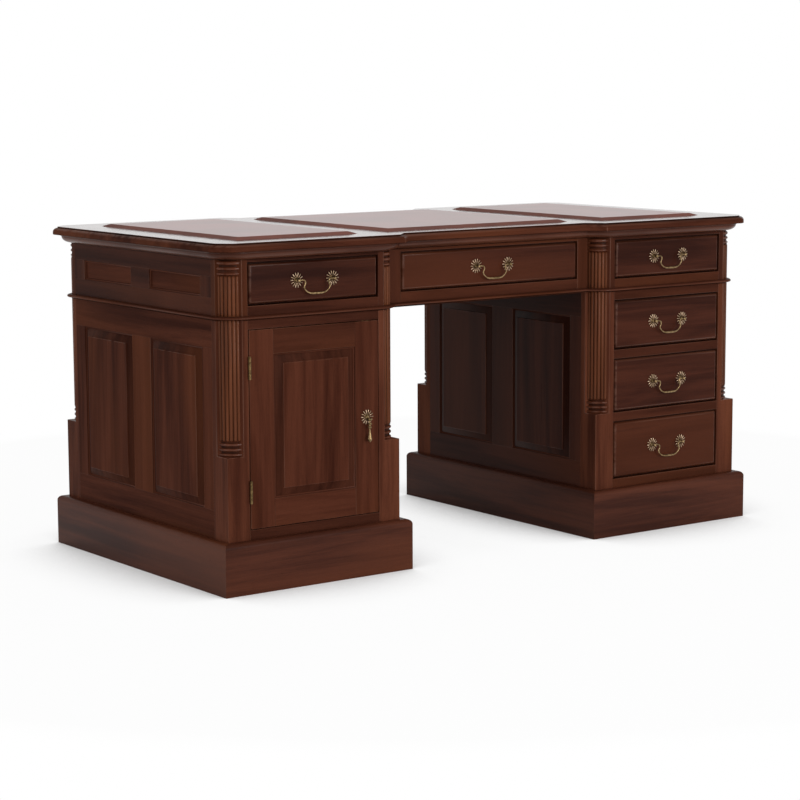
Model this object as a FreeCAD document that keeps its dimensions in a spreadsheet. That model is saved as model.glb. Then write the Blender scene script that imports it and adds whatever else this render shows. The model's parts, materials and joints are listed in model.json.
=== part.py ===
"""Partners desk: two pedestals, a breakfront frieze, a leather-lined top, twelve drawers and two cupboards.

Millimetres, +Z up. The origin is on the floor under the middle of the desk, X runs along its length and
-Y is the front. The back is the front turned half a turn about Z, so what is built once for the right
side, or for the front, is used again under a placement turned by 180 degrees.
"""

import FreeCAD, Part
import os
import re

import Sketcher

# closeness, in millimetres, at which a point counts as on a plane or at a corner
NEAR = 0.01

# Driving dimensions in millimetres. Each one is a cell of the sheet, under the same name.
SIZES = {
    # the whole desk, over the nose of the top and up to its wooden face
    "desk_width": 1600,
    "desk_depth": 800,
    "desk_height": 780,
    # top board and the leather let into it
    "nose_overhang": 32,
    "nose_leg": 36,
    "nose_radius": 10,
    "corner_radius": 32,
    "top_thickness": 19,
    "top_step_height": 3.5,
    "top_step_inset": 11.5,
    "break_depth": 36,
    "leather_bed": 1.5,
    "leather_rise": 5.5,
    "leather_slope": 16,
    "leather_inner": 369,
    "leather_outer": 697,
    "leather_half_depth": 303,
    "centre_leather_half": 274,
    "centre_leather_half_depth": 285,
    # mouldings round the frieze
    "mould_height": 20,
    "mould_overhang": 21,
    "mould_leg": 38,
    "mould_radius": 18.5,
    "bead_thickness": 10,
    "bead_overhang": 10.5,
    "bead_leg": 36,
    "bead_radius": 4.8,
    # pedestals
    "pedestal_width": 468,
    "waist_height": 608,
    "plinth_height": 118,
    "plinth_overhang": 21.5,
    "plinth_board": 36,
    "plinth_radius": 11.5,
    "post_width": 58,
    "cant_leg": 43,
    "block_height": 307,
    "frame_board": 22,
    "rail_height": 22,
    "partition_half": 6,
    "dust_board": 16,
    "panel_rail_top": 183,
    "panel_head": 545,
    "muntin_half": 42,
    "panel_outer": 268,
    # raised panels: the foot of the bevel lies behind the frame, and the field stands out of it
    "panel_recess": 5.5,
    "panel_edge": 10,
    "bevel_width": 21,
    "bevel_depth": 7.5,
    "field_margin": 1,
    "field_step": 2.5,
    # frieze
    "frieze_board": 8,
    "frieze_panel_foot": 657,
    "frieze_panel_head": 704,
    "frieze_panel_outer": 264,
    "frieze_panel_recess": 5,
    "centre_board": 22,
    "centre_opening_half": 268,
    "side_partition": 16,
    # corner columns: about a quarter of each stands out of the cant
    "column_radius": 36,
    "column_inset": 39.9,
    "column_neck": 33,
    "ring_reach": 33,
    "ring_radius": 3.6,
    "ring_pitch": 11.5,
    "ringed_height": 34,
    # drawers
    "opening_width": 352,
    "drawer_gap": 1.5,
    "side_gap": 3,
    "run_gap": 0.5,
    "front_recess": 7,
    "front_thickness": 14,
    "front_border": 2.5,
    "front_proud": 1,
    "front_radius": 7,
    "drawer_board": 12,
    "drawer_bottom": 6,
    "drawer_headroom": 6,
    "drawer_length": 335,
    "centre_drawer_length": 300,
    "frieze_sill": 31.5,
    "frieze_drawer": 96,
    "centre_sill": 34,
    "centre_drawer": 93,
    "bottom_drawer": 145,
    "middle_drawer": 134.5,
    "top_drawer": 124,
    "bearer_reach": 18,
    "guide_height": 18,
    # cupboard doors
    "door_thickness": 20,
    "door_stile": 66,
    "door_foot": 205,
    "door_head": 530,
    "hinge_gap": 2,
    "hinge_length": 51,
    "hinge_high": 503,
    "hinge_low": 225.5,
    "knuckle_radius": 3.4,
    "hinge_pin": 1.2,
    "leaf_width": 18,
    "hinge_play": 0.1,
    "catch_thickness": 1,
    "catch_half": 12,
    "shelf_height": 360,
    "shelf_board": 18,
    # handles
    "handle_pitch": 96,
    "handle_rise": 2.5,
    "rosette_radius": 16.5,
    "rosette_thickness": 2.2,
    "boss_radius": 9,
    "boss_thickness": 1.4,
    "post_radius": 3,
    "post_reach": 11,
    "ball_radius": 4.3,
    "bail_pin": 1.6,
    "pin_end": 2,
    "pin_play": 0.05,
    "bail_neck": 33,
    "bail_drop": 30.5,
    "neck_bend": 5,
    "foot_bend": 8,
    "grip_radius": 2.7,
    "grip_half": 12,
    "grip_taper": 12,
    # drop pull of a door: a stem below the pin, with a collar, a knop and a bulb at the foot of a cone
    "drop_stile": 34,
    "drop_plate_height": 366,
    "drop_pin_height": 361,
    "drop_eye": 3,
    "drop_stem": 1.4,
    "collar_radius": 4.8,
    "collar_drop": 11,
    "knop_radius": 4,
    "knop_drop": 18.5,
    "collar_thickness": 3,
    "cone_drop": 22,
    "bulb_radius": 5.8,
    "bulb_drop": 46,
    "fork_radius": 4,
    "fork_slot_half": 1.6,
}

# Lengths that follow from the driving ones.
DERIVED = {
    "half_width": "desk_width / 2 - nose_overhang",
    "half_depth": "desk_depth / 2 - nose_overhang",
    "inner_plane": "half_width - pedestal_width",
    "centre_plane": "half_depth - break_depth",
    "centre_line": "(half_width + inner_plane) / 2",
    "half_opening": "opening_width / 2",
    "mould_foot": "desk_height - top_thickness - mould_height",
    "carcase_top": "desk_height - top_thickness",
    "post_back": "half_depth - post_width",
    "opening_inner": "centre_line - half_opening",
    "opening_outer": "centre_line + half_opening",
    "frame_inner": "inner_plane + frame_board",
    "frame_outer": "half_width - frame_board",
    "column_cut": "(2 * column_inset - cant_leg) / sqrt(2)",
    "bottom_level": "plinth_height + rail_height",
    "middle_level": "bottom_level + bottom_drawer + rail_height",
    "top_level": "middle_level + middle_drawer + rail_height",
    "door_top": "top_level + top_drawer",
    "frieze_level": "waist_height + frieze_sill",
    "frieze_head": "frieze_level + frieze_drawer",
    "centre_level": "waist_height + centre_sill",
    "centre_head": "centre_level + centre_drawer",
    "frieze_floor": "waist_height + frieze_board",
    "outer_cant": "half_width - cant_leg",
    "step_overhang": "nose_overhang - top_step_inset",
    "step_leg": "nose_leg - (2 - sqrt(2)) * top_step_inset",
    "hinge_x": "hinge_gap / 2 - half_opening",
    "hinge_y": "-(knuckle_radius + hinge_play)",
    "knuckle_length": "hinge_length / 3",
    "drop_x": "half_opening - drop_stile",
}

doc = FreeCAD.newDocument("PartnersDesk")
sheet = doc.addObject("Spreadsheet::Sheet", "Sizes")
for row, (alias, value) in enumerate(SIZES.items(), start=1):
    sheet.set(f"A{row}", alias)
    sheet.set(f"B{row}", str(value))
    sheet.setAlias(f"B{row}", alias)
doc.recompute()


# Formulas ------------------------------------------------------------------------------------------


def formula(text):
    """Write a formula in plain names as one on the cells of the sheet."""

    def cell(match):
        word = match.group(0)
        if word in DERIVED:
            return f"({formula(DERIVED[word])})"
        return f"Sizes.{word}" if word in SIZES else word

    return re.sub(r"[a-z][a-z_]*", cell, text)


def size(text):
    """The value of a formula, in millimetres."""
    return float(sheet.evalExpression(formula(text)))


def signed(sign, text):
    """The formula itself, or its negative."""
    return text if sign > 0 else f"-({text})"


def span(sign, low, high):
    """A low and a high end, mirrored about zero where sign is -1."""
    return (low, high) if sign > 0 else (f"-({high})", f"-({low})")


def bind(thing, **formulas):
    """Drive properties of an object by formulas on the sheet."""
    for name, text in formulas.items():
        thing.setExpression(name, formula(text))


def place(thing, at=("0", "0", "0"), turn=0, axis=(0, 0, 1)):
    """Put an object at a point given by formulas, turned about an axis by an angle in degrees."""
    rotation = FreeCAD.Rotation(FreeCAD.Vector(*axis), turn)
    thing.Placement = FreeCAD.Placement(FreeCAD.Vector(0, 0, 0), rotation)
    for letter, text in zip("xyz", at):
        thing.setExpression(f"Placement.Base.{letter}", formula(text))
    return thing


# Primitives and groups -----------------------------------------------------------------------------


def board(name, across, along, up):
    """A square-edged board between pairs of formulas in X, Y and Z."""
    box = doc.addObject("Part::Box", name)
    spans = (across, along, up)
    bind(box, **{side: f"{high} - ({low})" for side, (low, high) in zip(("Length", "Width", "Height"), spans)})
    return place(box, [low for low, _ in spans])


def rod(name, radius, length, at, axis=(0, 0, 1), turn=0):
    """A round bar that starts at a point and, unturned, runs up."""
    bar = doc.addObject("Part::Cylinder", name)
    bind(bar, Radius=radius, Height=length)
    return place(bar, at, turn, axis)


def crossbar(name, radius, across, at=("0", "0")):
    """A round bar along X between two formulas, at a place in Y and Z."""
    low, high = across
    return rod(name, radius, f"{high} - ({low})", (low, *at), (0, 1, 0), 90)


def peg(name, radius, length, at):
    """A round bar that stands out of a face towards -Y."""
    return rod(name, radius, length, at, (1, 0, 0), 90)


def cone(name, start_radius, end_radius, length, at, axis=(0, 0, 1), turn=0):
    """A tapered bar that starts at a point and, unturned, runs up."""
    taper = doc.addObject("Part::Cone", name)
    bind(taper, Radius1=start_radius, Radius2=end_radius, Height=length)
    return place(taper, at, turn, axis)


def ball(name, radius, at):
    sphere = doc.addObject("Part::Sphere", name)
    bind(sphere, Radius=radius)
    return place(sphere, at)


def sloped_block(name, across, along, up, inset):
    """A block whose four sides slope in by an inset from its low to its high end in Y."""
    wedge = doc.addObject("Part::Wedge", name)
    bind(wedge, Xmin=across[0], Xmax=across[1], Ymin=along[0], Ymax=along[1], Zmin=up[0], Zmax=up[1])
    bind(wedge, X2min=f"{across[0]} + {inset}", X2max=f"{across[1]} - {inset}")
    bind(wedge, Z2min=f"{up[0]} + {inset}", Z2max=f"{up[1]} - {inset}")
    return wedge


def fuse(name, members):
    whole = doc.addObject("Part::MultiFuse", name)
    whole.Shapes = members
    return whole


def cut(name, base, tool):
    rest = doc.addObject("Part::Cut", name)
    rest.Base = base
    rest.Tool = tool
    return rest


def group(name, members, at=("0", "0", "0"), turn=0):
    """Several solids as one object, or one master used again at another place."""
    compound = doc.addObject("Part::Compound", name)
    compound.Links = members
    return place(compound, at, turn)


def both_sides(name, members, middle=()):
    """Pieces of the right half, the same pieces half a turn round, and those in the middle."""
    right = group(f"{name}_right_half", members)
    left = group(f"{name}_left_half", members, turn=180)
    return group(name, [right, left, *middle])


# Bodies --------------------------------------------------------------------------------------------


def sketch_on(body, role, name, offset="0"):
    """A sketch on one of the body's own origin planes, moved along that plane's normal."""
    plane = next(feature for feature in body.Origin.OriginFeatures if feature.Role == role)
    sketch = body.newObject("Sketcher::SketchObject", name)
    sketch.AttachmentSupport = (plane, [""])
    sketch.MapMode = "FlatFace"
    sketch.setExpression("AttachmentOffset.Base.z", formula(offset))
    return sketch


def polygon(sketch, points):
    """A closed outline through points given by formulas, each held by its distances from the origin."""
    places = [(size(across), size(up)) for across, up in points]
    count = len(points)
    for index, start in enumerate(places):
        end = places[(index + 1) % count]
        line = Part.LineSegment(FreeCAD.Vector(*start, 0), FreeCAD.Vector(*end, 0))
        sketch.addGeometry(line, False)
    for index in range(count):
        sketch.addConstraint(Sketcher.Constraint("Coincident", index, 2, (index + 1) % count, 1))
    for index, (point, texts) in enumerate(zip(places, points)):
        for kind, axis, distance, text in zip(("DistanceX", "DistanceY"), (-2, -1), point, texts):
            if abs(distance) < 1e-9:
                sketch.addConstraint(Sketcher.Constraint("PointOnObject", index, 1, axis))
                continue
            number = sketch.addConstraint(Sketcher.Constraint(kind, -1, 1, index, 1, distance))
            sketch.setExpression(f"Constraints[{number}]", formula(text))


def pad(body, name, sketch, length, reverse=False):
    feature = body.newObject("PartDesign::Pad", name)
    feature.Profile = sketch
    feature.Reversed = reverse
    bind(feature, Length=length)
    return feature


def pocket(body, name, sketch, depth, reverse=False):
    """Cut a sketch into the body, and make sure that the cut took something away."""
    doc.recompute()
    before = body.Shape.Volume
    feature = body.newObject("PartDesign::Pocket", name)
    feature.Profile = sketch
    feature.Reversed = reverse
    bind(feature, Length=depth)
    doc.recompute()
    assert body.Shape.Volume < before - 1, f"{name} cuts nothing"
    return feature


def round_over(body, name, base, radius, test):
    """Fillet those edges of a feature whose end points, given as a list, pass a test."""
    doc.recompute()
    names = [
        f"Edge{number}"
        for number, edge in enumerate(base.Shape.Edges, start=1)
        if test([vertex.Point for vertex in edge.Vertexes])
    ]
    feature = body.newObject("PartDesign::Fillet", name)
    feature.Base = (base, names)
    bind(feature, Radius=radius)
    return feature


def prism(name, points, foot, height):
    """An upright body over an outline."""
    body = doc.addObject("PartDesign::Body", name)
    sketch = sketch_on(body, "XY_Plane", f"{name}_outline", foot)
    polygon(sketch, points)
    pad(body, f"{name}_pad", sketch, height)
    return body


def rectangle(across, up):
    """The corners of a rectangle between two pairs of formulas."""
    return [(across[0], up[0]), (across[1], up[0]), (across[1], up[1]), (across[0], up[1])]


# Outlines round the desk ---------------------------------------------------------------------------


def desk_outline(overhang, leg):
    """The breakfront outline with canted corners, moved out from the body by an overhang."""
    corner = [
        (f"half_width + {overhang}", f"half_depth + {overhang} - {leg}"),
        (f"half_width + {overhang} - {leg}", f"half_depth + {overhang}"),
        (f"inner_plane - {overhang} + {leg}", f"half_depth + {overhang}"),
        (f"inner_plane - {overhang} + {leg} - break_depth", f"half_depth + {overhang} - break_depth"),
    ]
    points = []
    for across, along in ((1, 1), (-1, 1), (-1, -1), (1, -1)):
        ordered = corner if across * along > 0 else corner[::-1]
        points += [(signed(across, x), signed(along, y)) for x, y in ordered]
    return points


def plinth_outline(overhang):
    """A rectangle round the right pedestal, moved out from it by an overhang."""
    across = (f"inner_plane - ({overhang})", f"half_width + {overhang}")
    along = (f"-(half_depth + {overhang})", f"half_depth + {overhang}")
    return rectangle(across, along)


def mitred_lengths(name, inner, outer, foot, height, radius, rounded):
    """A length of moulding for each side of an outline, mitred at its ends, its outer edges rounded at some levels."""
    levels = [size(level) for level in rounded]
    lengths = []
    for index in range(len(inner)):
        following = (index + 1) % len(inner)
        quarter = [inner[index], outer[index], outer[following], inner[following]]
        piece = prism(f"{name}_{index + 1}", quarter, foot, height)
        corners = [(size(x), size(y)) for x, y in (outer[index], outer[following])]

        def outer_edge(ends, corners=corners):
            places = [FreeCAD.Vector(*corner, level) for level in levels for corner in corners]
            level_ends = abs(ends[0].z - ends[-1].z) < NEAR
            return level_ends and all(any(end.isEqual(place, NEAR) for place in places) for end in ends)

        round_over(piece, f"{name}_{index + 1}_round", piece.Tip, radius, outer_edge)
        lengths.append(piece)
    return lengths


# Top -----------------------------------------------------------------------------------------------

LEATHERS = {
    "left": (("-leather_outer", "-leather_inner"), "leather_half_depth"),
    "centre": (("-centre_leather_half", "centre_leather_half"), "centre_leather_half_depth"),
    "right": (("leather_inner", "leather_outer"), "leather_half_depth"),
}


def upright_at_cant(ends):
    """Whether an edge stands upright at one end of a canted corner of the top."""
    first, last = ends[0], ends[-1]
    return abs(first.x) > size("outer_cant") and abs(first.x - last.x) + abs(first.y - last.y) < NEAR


def top_board():
    """One breakfront board with a rounded nose, a small step above it and three shallow beds for leather."""
    body = doc.addObject("PartDesign::Body", "top_board")
    shoulder = size("desk_height - top_step_height")
    step = sketch_on(body, "XY_Plane", "top_step_outline", "carcase_top")
    polygon(step, desk_outline("step_overhang", "step_leg"))
    square = pad(body, "top_step", step, "top_thickness")
    core = round_over(body, "top_step_corners", square, "corner_radius - top_step_inset", upright_at_cant)
    nose = sketch_on(body, "XY_Plane", "top_nose_outline", "carcase_top")
    polygon(nose, desk_outline("nose_overhang", "nose_leg"))
    edged = pad(body, "top_nose", nose, "top_thickness - top_step_height")

    def nose_corner(ends):
        return upright_at_cant(ends) and max(end.z for end in ends) < shoulder + NEAR

    def nose_rim(ends):
        return all(abs(end.z - shoulder) < NEAR and not core.Shape.isInside(end, NEAR, True) for end in ends)

    softened = round_over(body, "top_nose_corners", edged, "corner_radius", nose_corner)
    round_over(body, "top_nose_round", softened, "nose_radius", nose_rim)
    for side, (across, half_depth) in LEATHERS.items():
        bed = sketch_on(body, "XY_Plane", f"leather_bed_{side}_outline", "desk_height")
        polygon(bed, rectangle(across, (f"-{half_depth}", half_depth)))
        pocket(body, f"leather_bed_{side}", bed, "leather_bed")
    return body


def leather_panels():
    """Three linings that lie in their beds and rise above the wood, with an edge that slopes on all four sides."""
    bed = ("desk_height - leather_bed", "desk_height")
    panels = []
    for side, (across, half_depth) in LEATHERS.items():
        along = (f"-{half_depth}", half_depth)
        foot = board(f"leather_{side}_foot", across, along, bed)
        rise = ("desk_height", "desk_height + leather_rise")
        slope = sloped_block(f"leather_{side}_slope", across, rise, along, "leather_slope")
        place(slope, turn=90, axis=(1, 0, 0))
        panels.append(fuse(f"leather_{side}", [foot, slope]))
    return group("leather_panels", panels)


def bed_moulding():
    """An ovolo under the top: a board with a large quarter round along its lower outer edge."""
    inner = desk_outline("0", "cant_leg")
    outer = desk_outline("mould_overhang", "mould_leg")
    lengths = mitred_lengths("bed_mould", inner, outer, "mould_foot", "mould_height", "mould_radius", ["mould_foot"])
    return group("bed_moulding", lengths)


def waist_bead():
    """A half-round bead round the foot of the frieze."""
    inner = desk_outline("0", "cant_leg")
    outer = desk_outline("bead_overhang", "bead_leg")
    rounded = ["waist_height", "waist_height + bead_thickness"]
    lengths = mitred_lengths("bead", inner, outer, "waist_height", "bead_thickness", "bead_radius", rounded)
    return group("waist_bead", lengths)


# Corners -------------------------------------------------------------------------------------------

# the four corners of the right pedestal: face across X, direction out of the pedestal in X and in Y
CORNERS = {
    "outer_front": ("half_width", 1, -1),
    "outer_back": ("half_width", 1, 1),
    "inner_front": ("inner_plane", -1, -1),
    "inner_back": ("inner_plane", -1, 1),
}


def post_outline(face, across, along, canted):
    """A square post in a corner, with or without its outer arris cut off."""
    inner_x = f"{face} - {across} * post_width"
    face_y = signed(along, "half_depth")
    inner_y = signed(along, "post_back")
    canted_x = f"{face} - {across} * cant_leg"
    canted_y = signed(along, "half_depth - cant_leg")
    outer = [(face, canted_y), (canted_x, face_y)] if canted else [(face, face_y)]
    return [(inner_x, inner_y), (face, inner_y), *outer, (inner_x, face_y)]


def corner_posts():
    """Posts of the pedestals, square at the foot and canted above, and canted posts of the frieze."""
    posts = []
    for corner, (face, across, along) in CORNERS.items():
        name = f"post_{corner}"
        square = post_outline(face, across, along, False)
        post = prism(name, square, "plinth_height", "waist_height - plinth_height")
        cant = sketch_on(post, "XY_Plane", f"{name}_cant_outline", "block_height")
        arris = [
            (face, signed(along, "half_depth - cant_leg")),
            (face, signed(along, "half_depth")),
            (f"{face} - {across} * cant_leg", signed(along, "half_depth")),
        ]
        polygon(cant, arris)
        pocket(post, f"{name}_cant", cant, "waist_height - block_height", reverse=True)
        posts.append(post)
        canted = post_outline(face, across, along, True)
        posts.append(prism(f"frieze_{name}", canted, "waist_height", "carcase_top - waist_height"))
    return both_sides("corner_posts", posts)


def column(name, foot, head, ringed_end, up):
    """A turned column with three rings round the neck at one end, planted on the cant, so its back is cut flat.

    The neck runs from the ringed end up (1) or down (-1), and the shaft fills the rest.
    """
    neck_end = f"{ringed_end} + {up} * ringed_height"
    neck = (ringed_end, neck_end) if up > 0 else (neck_end, ringed_end)
    shaft = (neck_end, head) if up > 0 else (foot, neck_end)
    turned = [
        rod(f"{name}_shaft", "column_radius", f"{shaft[1]} - ({shaft[0]})", ("0", "0", shaft[0])),
        rod(f"{name}_neck", "column_neck", "ringed_height", ("0", "0", neck[0])),
    ]
    for number in range(3):
        ring = doc.addObject("Part::Torus", f"{name}_ring_{number + 1}")
        bind(ring, Radius1="ring_reach", Radius2="ring_radius")
        height = f"{ringed_end} + {up} * (ring_radius + {number} * ring_pitch)"
        turned.append(place(ring, ("0", "0", height)))
    reach = ("-2 * column_radius", "2 * column_radius")
    buried = board(f"{name}_buried", reach, ("-column_cut", "2 * column_radius"), (f"{foot} - 1", f"{head} + 1"))
    return cut(name, fuse(f"{name}_turned", turned), buried)


def corner_columns():
    """A long column above each block and a short one above the bead, on all eight corners."""
    bead_head = "waist_height + bead_thickness"
    long_column = column("long_column", "block_height", "waist_height", "block_height", 1)
    short_column = column("short_column", bead_head, "mould_foot", "mould_foot", -1)
    placed = []
    for corner, (face, across, along) in CORNERS.items():
        at = (f"{face} - {across} * column_inset", signed(along, "half_depth - column_inset"), "0")
        turn = across * (45 if along < 0 else 135)
        placed.append(group(f"column_{corner}", [long_column, short_column], at, turn))
    return both_sides("corner_columns", placed)


# Pedestals -----------------------------------------------------------------------------------------

DRAWER_LEVELS = {
    "bottom": ("bottom_level", "bottom_drawer"),
    "middle": ("middle_level", "middle_drawer"),
    "top": ("top_level", "top_drawer"),
}


def side_frame(name, across, foot, rail, head, top, panel_outer):
    """Rails, stiles and a muntin round two openings, in the thickness given by a span in X."""
    length = ("-post_back", "post_back")
    boards = [
        board(f"{name}_foot_rail", across, length, (foot, rail)),
        board(f"{name}_head_rail", across, length, (head, top)),
        board(f"{name}_muntin", across, ("-muntin_half", "muntin_half"), (rail, head)),
    ]
    for sign, end in ((-1, "front"), (1, "back")):
        boards.append(board(f"{name}_stile_{end}", across, span(sign, panel_outer, "post_back"), (rail, head)))
    return boards


def pedestal_boards():
    """The right pedestal's boards, apart from posts, panels and plinth: drawers in front, cupboard behind."""
    inner = ("inner_plane", "frame_inner")
    outer = ("frame_outer", "half_width")
    inside = ("frame_inner", "frame_outer")
    opening = ("opening_inner", "opening_outer")
    frame = ("plinth_height", "panel_rail_top", "panel_head", "waist_height", "panel_outer")
    boards = side_frame("inner_frame", inner, *frame) + side_frame("outer_frame", outer, *frame)
    depth = ("-post_back", "post_back")
    floor_top = "plinth_height + dust_board"
    dust_foot = "waist_height - dust_board"
    boards += [
        board("pedestal_floor", inside, depth, ("plinth_height", floor_top)),
        board("pedestal_dust_board", inside, depth, (dust_foot, "waist_height")),
        board("pedestal_partition", inside, ("-partition_half", "partition_half"), (floor_top, dust_foot)),
    ]
    for sign, side in ((-1, "front"), (1, "back")):
        front = span(sign, "post_back", "half_depth")
        boards.append(board(f"foot_rail_{side}", opening, front, ("plinth_height", "bottom_level")))
        boards.append(board(f"head_rail_{side}", opening, front, ("door_top", "waist_height")))
    front = span(-1, "post_back", "half_depth")
    for name, (level, _) in list(DRAWER_LEVELS.items())[1:]:
        boards.append(board(f"rail_under_{name}", opening, front, (f"{level} - rail_height", level)))
    return boards


def plinths():
    """Four mitred boards with a rounded top edge under each pedestal."""
    outer = plinth_outline("plinth_overhang")
    inner = plinth_outline("plinth_overhang - plinth_board")
    lengths = mitred_lengths("plinth", inner, outer, "0", "plinth_height", "plinth_radius", ["plinth_height"])
    return both_sides("plinths", lengths)


def raised_panel(name, half_width, foot, head):
    """A panel that faces -Y: a slab, a bevel on all four sides, and a field that stands on a small step."""
    bevel_head = "(panel_recess - bevel_depth)"
    across = (f"-({half_width})", half_width)
    slab = board(f"{name}_slab", across, ("panel_recess", "panel_recess + panel_edge"), (foot, head))
    bevel = sloped_block(f"{name}_bevel", across, ("-panel_recess", f"-{bevel_head}"), (foot, head), "bevel_width")
    place(bevel, turn=180)
    inset = "(bevel_width + field_margin)"
    field_across = (f"{inset} - ({half_width})", f"{half_width} - {inset}")
    field_along = (f"{bevel_head} - field_step", bevel_head)
    field = board(f"{name}_field", field_across, field_along, (f"{foot} + {inset}", f"{head} - {inset}"))
    return fuse(name, [slab, bevel, field])


def side_panels():
    """Two raised panels in each side of each pedestal, and two plain ones in each end of the frieze."""
    half = "(panel_outer - muntin_half) / 2"
    master = raised_panel("side_panel", half, "panel_rail_top", "panel_head")
    placed = []
    for sign, end in ((-1, "front"), (1, "back")):
        middle = signed(sign, f"muntin_half + {half}")
        placed.append(group(f"outer_panel_{end}", [master], ("half_width", middle, "0"), 90))
        placed.append(group(f"inner_panel_{end}", [master], ("inner_plane", middle, "0"), -90))
        across = ("frame_outer", "half_width - frieze_panel_recess")
        along = span(sign, "muntin_half", "frieze_panel_outer")
        placed.append(board(f"frieze_panel_{end}", across, along, ("frieze_panel_foot", "frieze_panel_head")))
    return both_sides("side_panels", placed)


def shelves():
    """A shelf on two battens in each cupboard."""
    depth = ("partition_half", "post_back")
    battens = ("shelf_height - shelf_board", "shelf_height")
    boards = [
        board("shelf", ("frame_inner", "frame_outer"), depth, ("shelf_height", "shelf_height + shelf_board")),
        board("batten_inner", ("frame_inner", "frame_inner + shelf_board"), depth, battens),
        board("batten_outer", ("frame_outer - shelf_board", "frame_outer"), depth, battens),
    ]
    return both_sides("shelves", boards)


# Frieze --------------------------------------------------------------------------------------------


def frieze_frame():
    """The carcase between the waist and the top: end frames, rails, stiles, partitions and floor boards."""
    up = ("waist_height", "carcase_top")
    inside = ("inner_plane + side_partition", "frame_outer")
    opening = ("opening_inner", "opening_outer")
    depth = ("-post_back", "post_back")
    middle = ("-partition_half", "partition_half")
    floor = ("waist_height", "frieze_floor")
    above_floor = ("frieze_floor", "carcase_top")
    heights = ("waist_height", "frieze_panel_foot", "frieze_panel_head", "carcase_top", "frieze_panel_outer")
    boards = side_frame("frieze_end", ("frame_outer", "half_width"), *heights)
    boards += [
        board("frieze_side_partition", ("inner_plane", "inner_plane + side_partition"), depth, up),
        board("frieze_floor", inside, depth, floor),
        board("frieze_middle", inside, middle, above_floor),
    ]
    for sign, side in ((-1, "front"), (1, "back")):
        front = span(sign, "post_back", "half_depth")
        boards.append(board(f"frieze_sill_{side}", opening, front, ("waist_height", "frieze_level")))
        boards.append(board(f"frieze_head_{side}", opening, front, ("frieze_head", "carcase_top")))
        centre = span(sign, "centre_plane - centre_board", "centre_plane")
        boards.append(board(f"centre_stile_{side}", ("centre_opening_half", "inner_plane"), centre, up))
    across = ("-centre_opening_half", "centre_opening_half")
    between = ("-inner_plane", "inner_plane")
    centre_boards = [
        board("centre_floor", between, depth, floor),
        board("centre_middle", between, middle, above_floor),
    ]
    for sign, side in ((-1, "front"), (1, "back")):
        centre = span(sign, "centre_plane - centre_board", "centre_plane")
        centre_boards.append(board(f"centre_sill_{side}", across, centre, ("waist_height", "centre_level")))
        centre_boards.append(board(f"centre_head_{side}", across, centre, ("centre_head", "carcase_top")))
    return both_sides("frieze_frame", boards, centre_boards)


def drawer_runners():
    """Bearers under the sides of each drawer, guides beside them, and kickers above the frieze drawers."""
    reach = "side_gap + bearer_reach"
    bearers = {
        "bottom": ("plinth_height + dust_board", "bottom_level"),
        "middle": ("middle_level - rail_height", "middle_level"),
        "top": ("top_level - rail_height", "top_level"),
        "frieze": ("frieze_floor", "frieze_level"),
    }
    runners = []
    for name, up in bearers.items():
        inner = "inner_plane + side_partition" if name == "frieze" else "frame_inner"
        guide = (up[1], f"{up[1]} + guide_height")
        sides = {
            "inner": ((inner, f"opening_inner + {reach}"), (inner, "opening_inner + side_gap / 2")),
            "outer": ((f"opening_outer - ({reach})", "frame_outer"), ("opening_outer - side_gap / 2", "frame_outer")),
        }
        ends = {"front": -1, "back": 1} if name == "frieze" else {"front": -1}
        for side, (bearer_across, guide_across) in sides.items():
            for end, sign in ends.items():
                along = span(sign, "partition_half", "post_back")
                label = f"{name}_{side}_{end}"
                runners.append(board(f"bearer_{label}", bearer_across, along, up))
                runners.append(board(f"guide_{label}", guide_across, along, guide))
                if name == "frieze":
                    head = ("frieze_head", "carcase_top")
                    runners.append(board(f"kicker_{label}", bearer_across, along, head))
    centre_up = ("frieze_floor", "centre_level")
    centre_guide = ("centre_level", "centre_level + guide_height")
    for end, sign in (("front", -1), ("back", 1)):
        along = span(sign, "partition_half", "post_back")
        across = (f"centre_opening_half - ({reach})", "inner_plane")
        runners.append(board(f"bearer_centre_{end}", across, along, centre_up))
        guide_across = ("centre_opening_half - side_gap / 2", "inner_plane")
        runners.append(board(f"guide_centre_{end}", guide_across, along, centre_guide))
        runners.append(board(f"kicker_centre_{end}", across, along, ("centre_head", "carcase_top")))
    return both_sides("drawer_runners", runners)


# Drawers -------------------------------------------------------------------------------------------


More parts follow.
